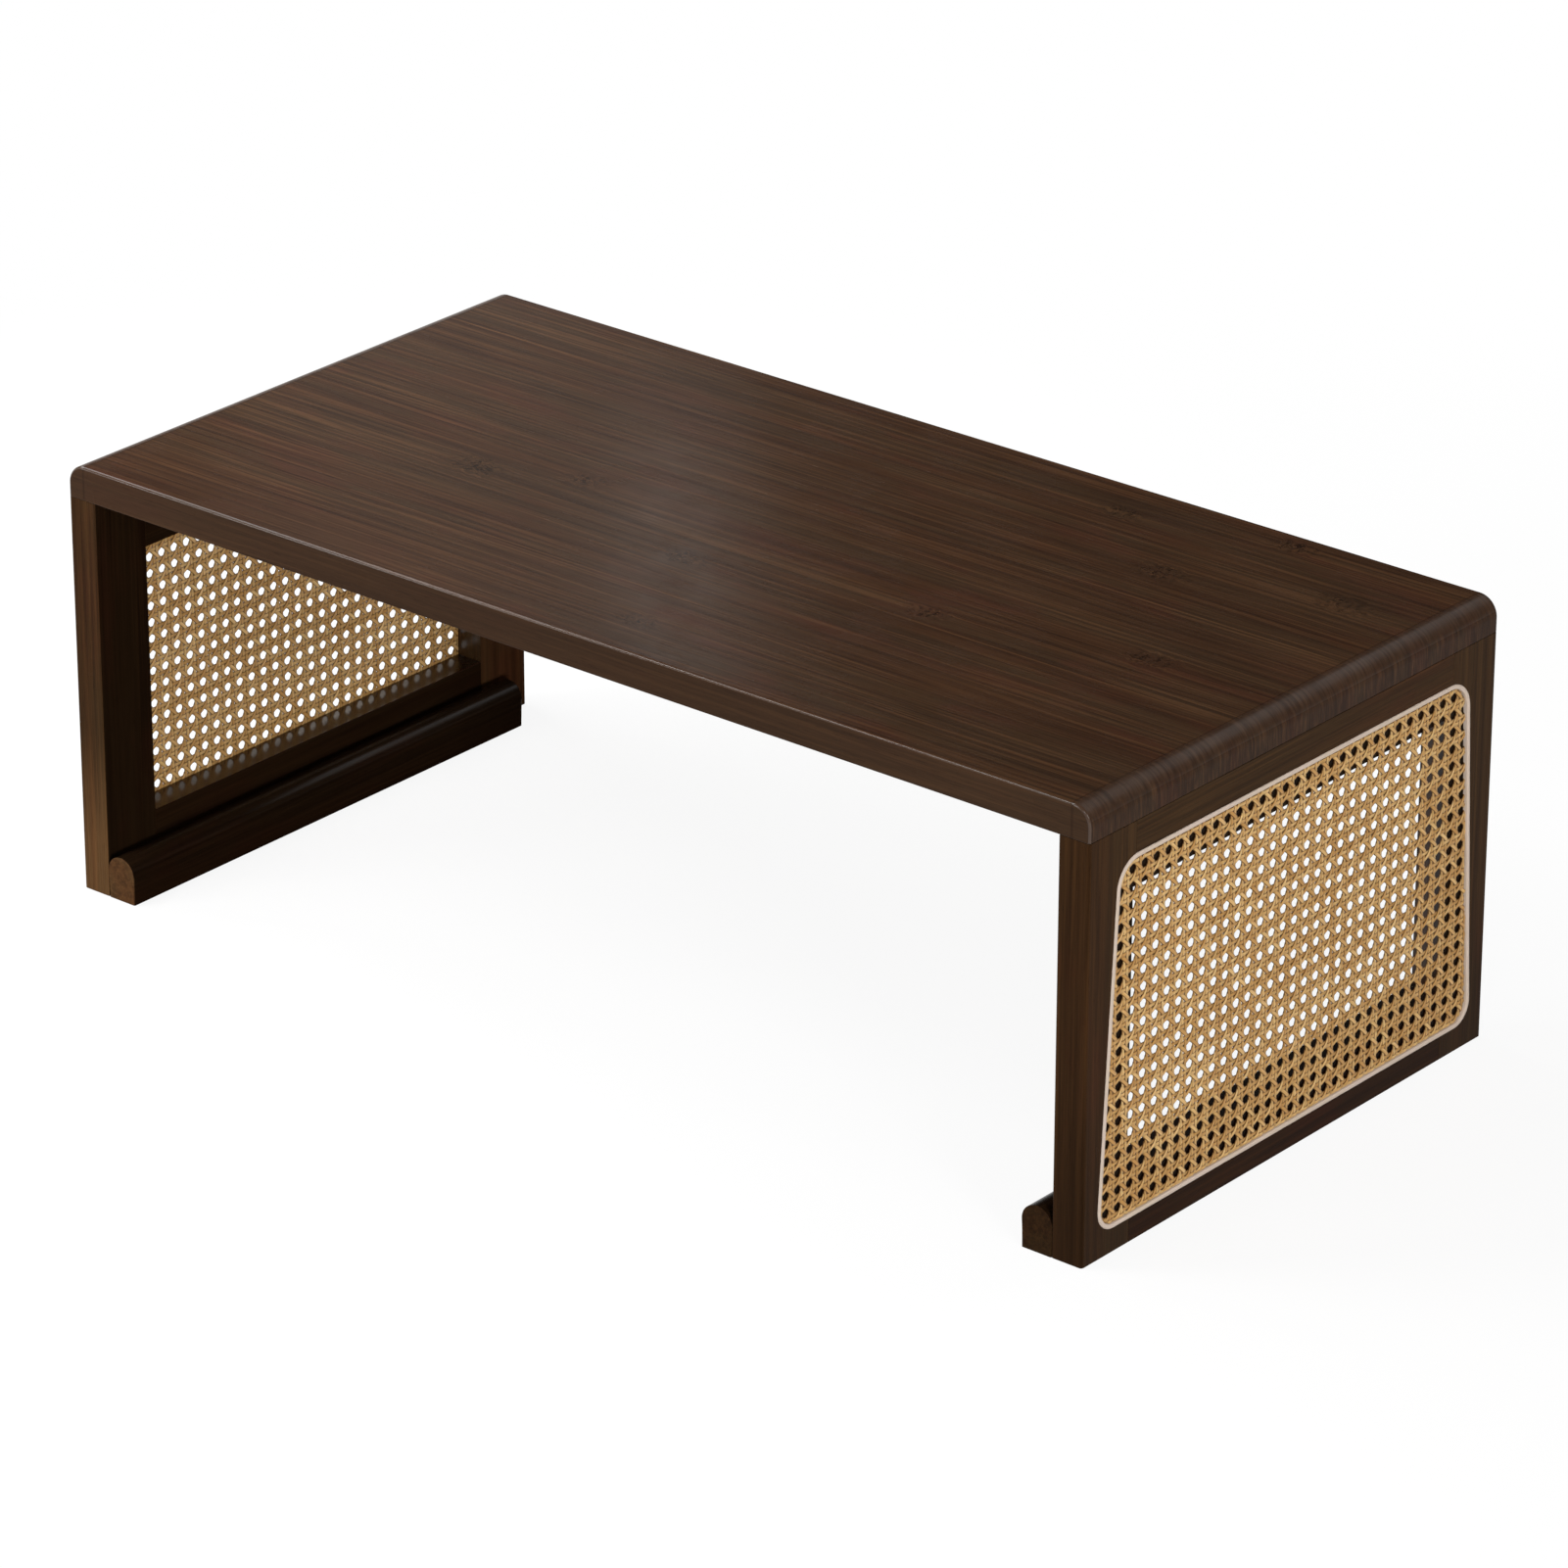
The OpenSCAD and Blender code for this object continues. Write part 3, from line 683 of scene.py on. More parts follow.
def cane_bark(name):
    """Split rattan: a glossy bark face with long fine fibres, and a tone for each strand."""
    cane = bpy.context.scene.table_cane
    dark, thick = tuple(cane.cane_dark), cane.strand_thickness
    finish = Finish(
        name, Specular_IOR_Level=0.16, Subsurface_Weight=0.2,
        Subsurface_Radius=(1.0, 0.62, 0.30), Subsurface_Scale=0.4 * MM,
    )
    between = finish.between
    strand = finish.strand()
    _, across, tone = finish.split(strand)
    fibres = finish.noise(strand, (45, 3800, 37))
    patches = finish.noise(strand, (24, 260, 37), 3)
    # Darker rims: partly the cane's own darker edges, partly painted shade in the grooves between strands
    # and at the edges of the holes
    rim = finish.size(finish.math("DIVIDE", across, cane.strand_width))
    colour = finish.coats(
        tuple(cane.cane_light),
        (between(tone, 0.0, 1.0), dark),
        (between(patches, 0.40, 0.68, 0, 0.75), dark),
        (between(fibres, 0.35, 0.75, 0, 0.45), shade_of(140, 98, 52)),
        (between(rim, 0.26, 0.44, 0, 0.95), shade_of(78, 46, 18)),
    )
    # The lower a strand lies in the weave, seen from its own side, the less light it gets
    _, here, facing = finish.surface()
    rise = finish.math("SUBTRACT", finish.size(here[0]), Weave.MIDDLE)
    rise = finish.times(rise, finish.math("SIGN", finish.times(here[0], facing[0])))
    sunk = between(rise, -0.6 * thick, 1.1 * thick, 0.50, 1.0)
    colour = finish.mix(1.0, colour, finish.xyz(sunk, sunk, sunk), "MULTIPLY")
    return finish.done(colour, between(patches, 0.3, 0.7, 0.36, 0.50), fibres, 0.25, 0.06 * MM)


def cream_reed(name):
    """Pale flat reed with fine fibres along it."""
    finish = Finish(name, Specular_IOR_Level=0.15)
    fibres = finish.noise(finish.strand(), (60, 3000, 1), 3)
    patches = finish.noise(finish.place(), (30, 30, 30), 3)
    colour = finish.coats(
        tuple(bpy.context.scene.table_cane.reed),
        (finish.between(patches, 0.35, 0.7, 0, 0.6), shade_of(187, 171, 152)),
        (finish.between(fibres, 0.45, 0.8, 0, 0.4), shade_of(166, 149, 128)),
    )
    return finish.done(colour, finish.between(fibres, 0.3, 0.7, 0.42, 0.58), fibres, 0.2, 0.08 * MM)


def metal(name, light, dark, roughness, brushed):
    """A metal with fine brush marks, and a slightly cloudy skin."""
    finish = Finish(name, Metallic=1.0)
    place = finish.place()
    marks = finish.noise(place, brushed)
    clouds = finish.noise(place, (240, 240, 240), 3)
    rough = finish.between(clouds, 0.3, 0.7, roughness - 0.05, roughness + 0.08)
    return finish.done(finish.mix(clouds, light, dark), rough, marks, 0.12, 0.03 * MM)


def shared(name, maker, *details, **more):
    """The material of that name, made the first time that it is asked for."""
    return bpy.data.materials.get(name) or maker(name, *details, **more)


# The woven panel


def clip_line(outline, point, way):
    """Where a line enters and leaves the panel's outline, or None if it misses it."""
    start, end = -1.0, 1.0
    after = np.roll(outline, -1, 0)
    for here, there in zip(outline, after):
        edge = there - here
        normal = np.array((edge[1], -edge[0]))
        if np.hypot(*normal) < 1e-9:
            continue
        speed = normal @ way
        gap = normal @ (here - point)
        if abs(speed) < 1e-12:
            if gap < 0:
                return None
        elif speed > 0:
            end = min(end, gap / speed)
        else:
            start = max(start, gap / speed)
    return (start, end) if end - start > 4 * MM else None


class Weave:
    """The strands of one panel, as paths with a height over the middle of the sheet."""

    # Middle of the sheet, and how deep its edge goes down into the groove
    MIDDLE = 398.88 * MM
    TUCK_INSET = 3.4 * MM
    TUCK_DEPTH = 2.4 * MM
    # A strand's first point in from the edge, how near its next one may be, and its first bend
    FIRST = 0.5 * MM
    SECOND = 0.9 * MM
    BEND = 0.55 * MM
    # Height at which a leaning weave keeps its place, and from which its uprights are counted
    LEVEL = 140 * MM
    START = 130 * MM
    # Enough strands and stops either way to pass the edges of any panel
    REACH = 45
    SLANT_REACH = 60
    STOP_REACH = 150

    def __init__(self, cane, hole, lean):
        self.cane = cane
        self.lean = lean
        self.pitch = cane.pitch
        self.step = (cane.strand_width + cane.pair_gap) / 2
        self.layer = cane.strand_thickness * 1.07
        # One hole's middle, from which the grid is counted
        self.hole = np.array(hole) * MM
        self.outline, _ = recess_outline(self.TUCK_INSET, 10)
        self.outline[:, 0] -= lean * (self.outline[:, 1] - self.LEVEL)
        self.draw = np.random.default_rng(cane.seed)
        self.paths = []

    def pair_height(self, place, first):
        """Height of a strand that crosses pairs at every pitch; place is counted in pitches."""
        turn = (place - np.round(place)) * self.pitch / (2 * self.step)
        wave = np.where(np.abs(turn) < 1, np.sin(np.pi * turn), 0)
        return first * wave * self.layer / 2

    def add(self, point, way, stops, height):
        """Lays one strand: stops are the places along it, height gives its rise at each."""
        span = clip_line(self.outline, point, way)
        if span is None:
            return
        start, end = span
        inner = stops[(stops > start + self.SECOND) & (stops < end - self.SECOND)]
        if len(inner) < 2:
            return
        along = np.concatenate(([start + self.FIRST], inner, [end - self.FIRST]))
        rise = height(along)
        rise[0], rise[-1] = -0.25 * self.layer, -0.25 * self.layer
        phase = self.draw.uniform(0, 2 * np.pi, 2)
        stray = self.cane.wander * (
            np.sin(along * 21 + phase[0]) + 0.6 * np.sin(along * 57 + phase[1])
        )
        side = np.array((-way[1], way[0]))
        flat = point + along[:, None] * way + stray[:, None] * side
        path = np.c_[self.MIDDLE + rise, flat]
        for stop, index in ((start, 0), (end, -1)):
            edge = point + stop * way + stray[index] * side
            bent = np.array([(self.MIDDLE - drop, *edge) for drop in (self.BEND, self.TUCK_DEPTH)])
            path = np.vstack((bent[::-1], path)) if index == 0 else np.vstack((path, bent))
        path[:, 1] += self.lean * (path[:, 2] - self.LEVEL)
        self.paths.append((path, side))

    def lay(self):
        """All the strands: pairs across, pairs upright, and the two slanting sets."""
        pitch, step = self.pitch, self.step
        corner = self.hole - pitch / 2
        reach = range(-self.REACH, self.REACH)
        marks = np.array((-2 * step, -step, 0, step, 2 * step, pitch / 2))
        crossings = np.sort((np.array(reach)[:, None] * pitch + marks).ravel())
        for axis, before in ((0, 0.0), (1, self.START)):
            # The pairs across come first, then the uprights, which are counted from their start
            way = np.array((1.0 - axis, float(axis)))
            origin = corner[axis] - before
            sign = -1 if axis else 1
            for number in reach:
                for member in (-1, 1):
                    point = np.array((before, before)) * way
                    point[1 - axis] = corner[1 - axis] + number * pitch + member * step
                    self.add(
                        point, way, crossings + origin,
                        lambda a, o=origin, m=sign * member: self.pair_height((a - o) / pitch, m),
                    )
        # The slanting strands pass the middles of the sides between two holes
        middles = pitch / math.sqrt(2)
        for slope in (-1, 1):
            way = np.array((1.0, slope)) / math.sqrt(2)
            for number in range(-self.SLANT_REACH, self.SLANT_REACH):
                point = corner + np.array((pitch / 2 + number * pitch, 0.0))
                # Its own zero lies where it crosses a pair that runs across
                shift = (self.START - point[1]) * slope * math.sqrt(2)
                self.add(
                    point + way * shift, way,
                    np.arange(-self.STOP_REACH, self.STOP_REACH) * middles / 3 - shift,
                    lambda a, s=slope, d=shift: s * self.layer * np.cos(np.pi * (a + d) / middles),
                )
        return self.paths


# Half-widths and heights round a strand: a domed face, narrow rims and a flatter back
SECTION = np.array((
    (-0.5, -0.12), (-0.40, 0.26), (-0.20, 0.45), (0.0, 0.50), (0.20, 0.45), (0.40, 0.26), (0.5, -0.12),
    (0.34, -0.38), (0.0, -0.46), (-0.34, -0.38),
))


def run_of(path):
    """How far each point lies along the path."""
    steps = np.linalg.norm(np.diff(path, axis=0), axis=1)
    return np.concatenate(([0], np.cumsum(steps)))


def strand_mesh(name, points, faces, marks, mirrored):
    """A mesh with (along, across, tone) stored at its points."""
    if mirrored:
        # The left panel is the right one turned half round, not its mirror image
        points = points * np.array((-1.0, -1.0, 1.0))
    mesh = mesh_from(name, points, faces)
    attribute = mesh.attributes.new("strand", "FLOAT_VECTOR", "POINT")
    attribute.data.foreach_set("vector", marks.ravel())
    shape = bmesh.new()
    shape.from_mesh(mesh)
    return outward(shape, mesh)


def woven_mesh(name, paths, cane, draw, mirrored):
    """A closed ribbon along each path."""
    count = len(SECTION)
    all_points, all_faces, all_marks = [], [], []
    base = 0
    for path, side in paths:
        size = len(path)
        tangent = np.gradient(path, axis=0)
        tangent /= np.linalg.norm(tangent, axis=1)[:, None]
        across = np.array((0.0, *side))
        up = np.cross(across, tangent)
        if up[size // 2, 0] < 0:
            up = -up
        up /= np.linalg.norm(up, axis=1)[:, None]
        width = cane.strand_width * draw.uniform(0.94, 1.04)
        thickness = cane.strand_thickness * draw.uniform(0.94, 1.05)
        ring = (
            path[:, None, :]
            + SECTION[None, :, 0, None] * width * across
            + SECTION[None, :, 1, None] * thickness * up[:, None, :]
        )
        tone = draw.uniform(0, 1)
        marks = np.empty((size, count, 3))
        marks[..., 0] = run_of(path)[:, None] + draw.uniform(0, 5)
        marks[..., 1] = SECTION[None, :, 0] * width
        marks[..., 2] = tone
        all_points.append(ring.reshape(-1, 3))
        all_marks.append(marks.reshape(-1, 3))
        all_faces += skin(size, count, base)
        base += size * count
    return strand_mesh(name, np.vstack(all_points), all_faces, np.vstack(all_marks), mirrored)


def spline_mesh(name, bead_height, draw, mirrored):
    """The reed: a square-edged strip down in the groove with a round top, butted at its foot."""
    half_width = 1.5 * MM
    bed = GROOVE_FLOOR + SEAT - HALF_LENGTH
    shoulder = -0.12 * MM
    outline, normals = recess_outline(SEAT + half_width, 16)
    # Start and end at the middle of the foot
    foot = np.array(((0.0, outline[0][1]),))
    down = np.array(((0.0, -1.0),))
    hairline = np.array((0.06 * MM, 0.0))
    points = np.vstack((foot + hairline, outline, foot - hairline))
    ways = np.vstack((down, normals, down))
    fine_points, fine_ways = [], []
    for k in range(len(points) - 1):
        pieces = max(1, int(np.linalg.norm(points[k + 1] - points[k]) / (7 * MM)))
        for part in range(pieces):
            share = part / pieces
            fine_points.append(points[k] * (1 - share) + points[k + 1] * share)
            way = ways[k] * (1 - share) + ways[k + 1] * share
            fine_ways.append(way / np.linalg.norm(way))
    path, way = np.array((*fine_points, points[-1])), np.array((*fine_ways, ways[-1]))
    section = [(half_width, bed)]
    for k in range(11):
        turn = math.pi * k / 10
        dome = shoulder + (bead_height - shoulder) * math.sin(turn) ** 0.9
        section.append((half_width * math.cos(turn), dome))
    section.append((-half_width, bed))
    run = run_of(path)
    count, size = len(section), len(path)
    # The reed swells and lifts a little along its run
    phases = draw.uniform(0, 2 * np.pi, 4)
    swell = 1 + 0.012 * np.sin(run * 90 + phases[0]) + 0.01 * np.sin(run * 233 + phases[1])
    lift = 0.02 * MM * (np.sin(run * 70 + phases[2]) + np.sin(run * 191 + phases[3]))
    rings = np.empty((size, count, 3))
    marks = np.empty((size, count, 3))
    for k, (across, up) in enumerate(section):
        inside = across * np.minimum(swell, 1.01)
        rings[:, k, 0] = HALF_LENGTH + up + (lift if up > 0 else 0)
        rings[:, k, 1:] = path + way * inside[:, None]
        marks[:, k] = np.c_[run, np.full(size, across), np.full(size, 0.5)]
    return strand_mesh(name, rings.reshape(-1, 3), skin(size, count), marks, mirrored)


# Operators, one for each piece or group of like pieces


def faces_inward(middle, normal):
    """True for the faces of a leg that look to the middle of the table."""
    return normal.x * middle.x < -0.9 * abs(middle.x)


def leg_mesh(name, shape, side, cutters=()):
    """The mesh of a leg's piece that was shaped for the right leg."""
    mesh = outward(shape, bpy.data.meshes.new(name))
    if cutters:
        mesh = carved(mesh, cutters)
        mesh.name = name
    if side == "left":
        to_left(mesh)
    return mesh


def magnet_bore(start, way):
    """A blind bore for a magnet, from just outside its mouth."""
    start, way = Vector(start), Vector(way)
    return rod(start - MM * way, start + (MAGNET_THICKNESS + SEAT) * way, MAGNET_R + SEAT)


class BuildTop(bpy.types.Operator):
    """Builds the walnut top: a board whose ends turn down in a quarter round"""

    bl_idname = "floor_table.build_top"
    bl_label = "Top"

    def execute(self, context):
        wood = context.scene.table_wood

        def at_end(p):
            return at(abs(p.x), HALF_LENGTH) and at(p.z, TOP_HIGH.z)

        def on_face(p):
            return at(abs(p.y), HALF_DEPTH) and p.z > UNDER_TOP + NEAR

        def under(p):
            return at(p.z, UNDER_TOP)

        def on_rounding(p, n):
            by_face = abs(p.y) > HALF_DEPTH - 1.1 * wood.edge_round
            return by_face and 0.25 < abs(n.y) < 0.97 and n.z > -0.5

        def on_corner(p, n):
            return on_rounding(p, n) and abs(p.x) > HALF_LENGTH - wood.end_round

        def on_turn(p, n):
            return 0.01 < abs(n.x) < 0.96 and n.z > 0.1 and abs(n.y) < 0.1

        blank = bpy.data.meshes.new("walnut_top")
        outward(board(TOP_LOW, TOP_HIGH, (
            (at_end, wood.end_round, 20), (on_face, wood.edge_round, 5), (under, wood.joint_ease, 2),
        )), blank)
        mesh = carved(blank, [
            magnet_bore((x, y, UNDER_TOP), (0, 0, 1))
            for x in (-TOP_MAGNET_X, TOP_MAGNET_X) for y in (-TOP_MAGNET_Y, 0, TOP_MAGNET_Y)
        ])

        def finish(name, gloss, **more):
            return shared(name, walnut, 0, top=True, gloss=gloss, **more)

        add_piece(
            "walnut_top", mesh, "table", finish("lacquered_top", 0.04), ["tabletop"],
            others=[
                (finish("turned_end", 0.10, roughness=0.32), on_turn),
                (finish("rubbed_edge", 0.19, pores_deep=0.02), on_rounding),
                (finish("rubbed_corner", 0.45, pores_deep=0.02), on_corner),
            ],
        )
        return {"FINISHED"}


class BuildStiles(bpy.types.Operator):
    """Builds the four stiles, with their share of the panel's recess and groove"""

    bl_idname = "floor_table.build_stiles"
    bl_label = "Stiles"

    def execute(self, context):
        wood = context.scene.table_wood
        for side in SIDES:
            for end in ENDS:
                low, high = Vector(STILE_LOW), Vector(STILE_HIGH)
                if end == "back":
                    low.y, high.y = -STILE_HIGH.y, -STILE_LOW.y
                face = low.y if end == "front" else high.y

                def outer(p):
                    return at(p.x, HALF_LENGTH) and at(p.y, face)

                def inner(p):
                    return at(p.x, LEG_INNER) and at(p.y, face)

                def sharp(p):
                    return at(p.z, low.z) or at(p.z, high.z) or at(abs(p.y), OPENING_Y)

                def in_window(p, n):
                    return abs(n.y) > 0.9 and at(abs(p.y), OPENING_Y)

                shape = board(low, high, (
                    (outer, wood.edge_round, 5), (inner, wood.inner_ease, 4),
                    (sharp, wood.joint_ease, 2),
                ))
                stile = f"{side}_{end}_stile"
                name = f"{stile}_walnut"
                mesh = leg_mesh(name, shape, side, [recess_cutter()])
                offset = (0.31 * len(name), 0.17 * (end == "back"), 0.05)
                # Painted light at the foot of the left front stile; painted shade towards the floor on the
                # right stiles
                pale = {"left_front": 1.7, "left_back": 0.0}.get(f"{side}_{end}", -0.3)
                upright = shared(f"{side}_{end}_upright", walnut, 2, offset, LEG_TONE, pale_foot=pale)
                fine = shared(f"{side}_{end}_window_edge", walnut, 2, offset, LEG_TONE,
                              gloss=0.32, roughness=0.2)
                # Painted light on the inner faces of the back stiles, painted shade on those of the front
                # stiles
                inside = BACK_INNER_PAINTED_LIGHT if end == "back" else INNER_PAINTED_SHADE
                dim = shared(f"{end}_stile_inner_face", walnut, 2, offset, inside, gloss=0.0)
                add_piece(name, mesh, f"{side}_leg", upright, [stile],
                          others=[(fine, in_window), (dim, faces_inward)])
        return {"FINISHED"}


class BuildFootBars(bpy.types.Operator):
    """Builds the two foot bars, with their half-round tops"""

    bl_idname = "floor_table.build_foot_bars"
    bl_label = "Foot bars"

    def execute(self, context):
        wood = context.scene.table_wood
        radius = (BAR_HIGH.x - BAR_LOW.x) / 2
        middle = (BAR_HIGH.x + BAR_LOW.x) / 2
        block = BAR_HIGH.z - radius
        arch = 24
        outline = [(BAR_LOW.x, 0.0), (BAR_HIGH.x, 0.0)]
        for k in range(arch + 1):
            turn = math.pi * k / arch
            outline.append((middle + radius * math.cos(turn), block + radius * math.sin(turn)))

        def on_arch(p, n):
            return n.z > 0.2 and abs(n.y) < 0.5

        for number, side in enumerate(SIDES):
            shape = bmesh.new()
            front = [shape.verts.new((x, BAR_LOW.y, z)) for x, z in outline]
            back = [shape.verts.new((x, BAR_HIGH.y, z)) for x, z in outline]
            shape.faces.new(front)
            shape.faces.new(list(reversed(back)))
            for k in range(-1, len(outline) - 1):
                shape.faces.new((front[k], back[k], back[k + 1], front[k + 1]))
            corners = [
                edge for edge in shape.edges
                if at(edge.verts[0].co.y, edge.verts[1].co.y)
                and max(vertex.co.z for vertex in edge.verts) > NEAR
            ]
            rounded(shape, corners, wood.inner_ease, 3)
            name = f"{side}_foot_bar_walnut"
            mesh = leg_mesh(name, shape, side)
            offset = (0.7, 0.4 + 0.5 * number, 0.2)
            # Painted light at the foot of the left bar; painted shade towards the floor on the right one
            pale = 1.1 if side == "left" else -0.3
            foot = shared(f"{side}_foot", walnut, 1, offset, LEG_TONE, pale_foot=pale)
            # Painted shade on the arch and on the inner side of each bar
            arched = shared("foot_bar_arch_painted_shade", walnut, 1, offset, BAR_PAINTED_SHADE, gloss=0.08, roughness=0.2)
            dim = shared("foot_bar_side_painted_shade", walnut, 1, offset, BAR_PAINTED_SHADE, gloss=0.0)
            add_piece(name, mesh, f"{side}_leg", foot, [f"{side}_foot_bar"],
                      others=[(arched, on_arch), (dim, faces_inward)])
        return {"FINISHED"}


def hinge_cutters():
    """What the right leg's top rail loses to its hinges and magnets."""
    cutters = []
    for s in (-1, 1):
        y = s * HINGE_Y
        low = (LEG_INNER - MM, y - HINGE_HALF - SEAT, PIN_Z - LEAF_WIDTH - SEAT)
        high = (LEG_INNER + LEAF_THICKNESS + SEAT, y + HINGE_HALF + SEAT, PIN_Z)
        cutters.append(outward(board(low, high, ()), bpy.data.meshes.new("leaf_pocket")))
        ends = [(PIN_X, y + reach, PIN_Z) for reach in (-KNUCKLE_HOLLOW_HALF, KNUCKLE_HOLLOW_HALF)]
        cutters.append(rod(*ends, KNUCKLE_HOLLOW_R))
        cutters.append(magnet_bore((LEG_INNER, s * CATCH_Y, CATCH_Z), (1, 0, 0)))
    return cutters


class BuildRails(bpy.types.Operator):
    """Builds the rails of the leg frames, with their share of the panel's recess and groove"""

    bl_idname = "floor_table.build_rails"
    bl_label = "Leg rails"

    def execute(self, context):
        wood = context.scene.table_wood
        # Painted shade on the edges round each window, under a glossy lacquer
        window_edge_painted_shade = [part * 0.2 for part in LEG_TONE]
        for number, side in enumerate(SIDES):
            for level, height in (("top", 0.3), ("bottom", 1.1)):
                low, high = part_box(f"right_{level}_rail")
                edge = high.z if level == "bottom" else low.z

                def sill(p):
                    return level == "bottom" and at(p.x, low.x) and at(p.z, high.z)

                def in_window(p, n):
                    return abs(n.z) > 0.9 and at(p.z, edge)

                shape = board(low, high, (
                    (sill, wood.inner_ease / 2, 3), (lambda p: True, wood.joint_ease, 2),
                ))
                rail = f"{side}_{level}_rail"
                name = f"{rail}_walnut"
                hinges = hinge_cutters() if level == "top" else []
                mesh = leg_mesh(name, shape, side, [recess_cutter(), *hinges])
                offset = (0.2 + number, 0.37 * number, height)
                # Painted shade: the bottom rails are darker than the top ones
                tone = BOTTOM_RAIL_PAINTED_SHADE if level == "bottom" else LEG_TONE
                crosspiece = shared(f"{side}_{level}_crosspiece", walnut, 1, offset, tone)
                fine = shared(f"{side}_{level}_window_edge", walnut, 1, offset, window_edge_painted_shade,
                              gloss=0.75, roughness=0.22, tint=(1.0, 0.66, 0.36, 1))
                # Painted shade on the faces that look into the table
                dim = shared("rail_inner_painted_shade", walnut, 1, offset, INNER_PAINTED_SHADE, gloss=0.0)
                add_piece(name, mesh, f"{side}_leg", crosspiece, [rail],
                          others=[(fine, in_window), (dim, faces_inward)])
        return {"FINISHED"}


class DressBattens(bpy.types.Operator):
    """Finishes the hinge rails under the top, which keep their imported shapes"""

    bl_idname = "floor_table.dress_battens"
    bl_label = "Hinge rails"

    def execute(self, context):
        wood = context.scene.table_wood
        for number, side in enumerate(SIDES):
            material = shared(f"{side}_batten", walnut, 1, (2.1 + number, 0.6, 0.1), LEG_TONE)
            dress_node(f"{side}_hinge_rail", material, 2 * wood.joint_ease)
        return {"FINISHED"}


class BuildCanePanels(bpy.types.Operator):
    """Weaves the two cane panels, strand over strand"""

    bl_idname = "floor_table.build_cane_panels"
    bl_label = "Cane panels"

    def execute(self, context):
        cane = context.scene.table_cane
        material = shared("woven_cane", cane_bark)
        # A hole's place (y, z) in millimetres, and the lean, of the left and the right weave
        starts = (((-158.6, 239.1), 0.0), ((-154.35, 238.2), -0.016))
        for number, side in enumerate(SIDES):
            name = f"{side}_woven_cane"
            draw = np.random.default_rng(cane.seed + 11 + number)
            mesh = woven_mesh(name, Weave(cane, *starts[number]).lay(), cane, draw, side == "left")
            add_piece(name, mesh, f"{side}_leg", material, [f"{side}_cane_webbing"], False)
        return {"FINISHED"}


class BuildSplines(bpy.types.Operator):
    """Lays the reed splines into the grooves round the panels"""

    bl_idname = "floor_table.build_splines"
    bl_label = "Reed splines"

    def execute(self, context):
        cane = context.scene.table_cane
        material = shared("cream_reed", cream_reed)
        for number, side in enumerate(SIDES):
            name = f"{side}_reed_spline"
            draw = np.random.default_rng(cane.seed + 31 + number)
            mesh = spline_mesh(name, cane.bead_height, draw, side == "left")
            add_piece(name, mesh, f"{side}_leg", material, [f"{side}_cane_spline"], False)
        return {"FINISHED"}


def cross_cutters(size, depth, height=0.0):
    """The two bars of the cross that a driver fits, narrower at its bottom."""
    bars = []
    for turn in (0, 90):
        shape = bmesh.new()
        bmesh.ops.create_cube(shape, size=1)
        for vertex in shape.verts:
            deep = vertex.co.z > 0
            vertex.co.x *= size * (0.55 if deep else 1)
            vertex.co.y *= size * (0.17 if deep else 0.27)
            vertex.co.z = height + (depth if deep else -depth)
        shape.transform(Matrix.Rotation(math.radians(turn), 4, "Z"))
        bars.append(outward(shape, bpy.data.meshes.new(f"cross_bar_{turn}")))
    return bars


def screw(head, shank, tip, recess, depth, height=0.0):
    """A screw along +Z with a cross recess in its head, all sizes in millimetres."""
    point = ((shank, tip - 4), (0.2, tip - 0.1), (0, tip))
    profile = [(radius * MM, rise * MM) for radius, rise in (*head, *point)]
    return carved(lathe(profile), cross_cutters(recess * MM, depth * MM, height * MM))


class BuildScrews(bpy.types.Operator):
    """Builds the screws of the hinge rails and the hinge leaves"""

    bl_idname = "floor_table.build_screws"
    bl_label = "Screws"

    def execute(self, context):
        steel = shared(
            "zinc_screw", metal, (0.62, 0.62, 0.64, 1), (0.45, 0.45, 0.47, 1), 0.3, (900, 900, 900),
        )
        flat_head = ((0, 0.02), (2.95, 0.02), (3.2, 0.12), (3.2, 0.26), (1.6, 1.7))
        leaf = screw(flat_head, 1.6, LEAF_SCREW_LENGTH, 3.3, 1.5)
        domed_head = (
            (0, -2.6), (1.5, -2.52), (2.7, -2.18), (3.5, -1.55), (3.95, -0.7), (4, -0.15),
            (3.9, 0), (2, 0.01),
        )
        rail = screw(domed_head, 2, RAIL_SCREW_LENGTH, 4.2, 1.7, -2.6)
        rows = [s * HINGE_Y + k * LEAF_SCREW_PITCH for s in (-1, 1) for k in (-1, 0, 1)]
        turns = [0.4, 1.1, 0.2, 0.9, 1.3, 0.6]

        def place(x, y, z, turn, aim=0.0):
            tilt = Matrix.Rotation(aim, 4, "Y") @ Matrix.Rotation(turn, 4, "Z")
            return Matrix.Translation((x, y, z)) @ tilt

        def add(name, screw_mesh, body, places):
            add_piece(f"{name}_steel", joined(screw_mesh, places, name), body, steel,
                      [name], even=False)

        add("rail_screws", rail, "table", [
            place(s * RAIL_SCREW_X, (k - 1.5) * RAIL_SCREW_PITCH, RAIL_SCREW_SEAT, 0.5 + k + s)
            for s in (-1, 1) for k in range(4)
        ])
        add("rail_leaf_screws", leaf, "table", [
            place(s * (PIN_X - LEAF_SCREW_OFFSET), y, PIN_Z + 0.3 * MM, turn)
            for s in (-1, 1) for y, turn in zip(rows, turns)
        ])
        for s, side in ((-1, "left"), (1, "right")):
            add(f"{side}_leg_leaf_screws", leaf, f"{side}_leg", [
                place(s * LEG_INNER, y, PIN_Z - LEAF_SCREW_OFFSET, turn + 0.3, s * math.pi / 2)
                for y, turn in zip(rows, turns)
            ])
        return {"FINISHED"}


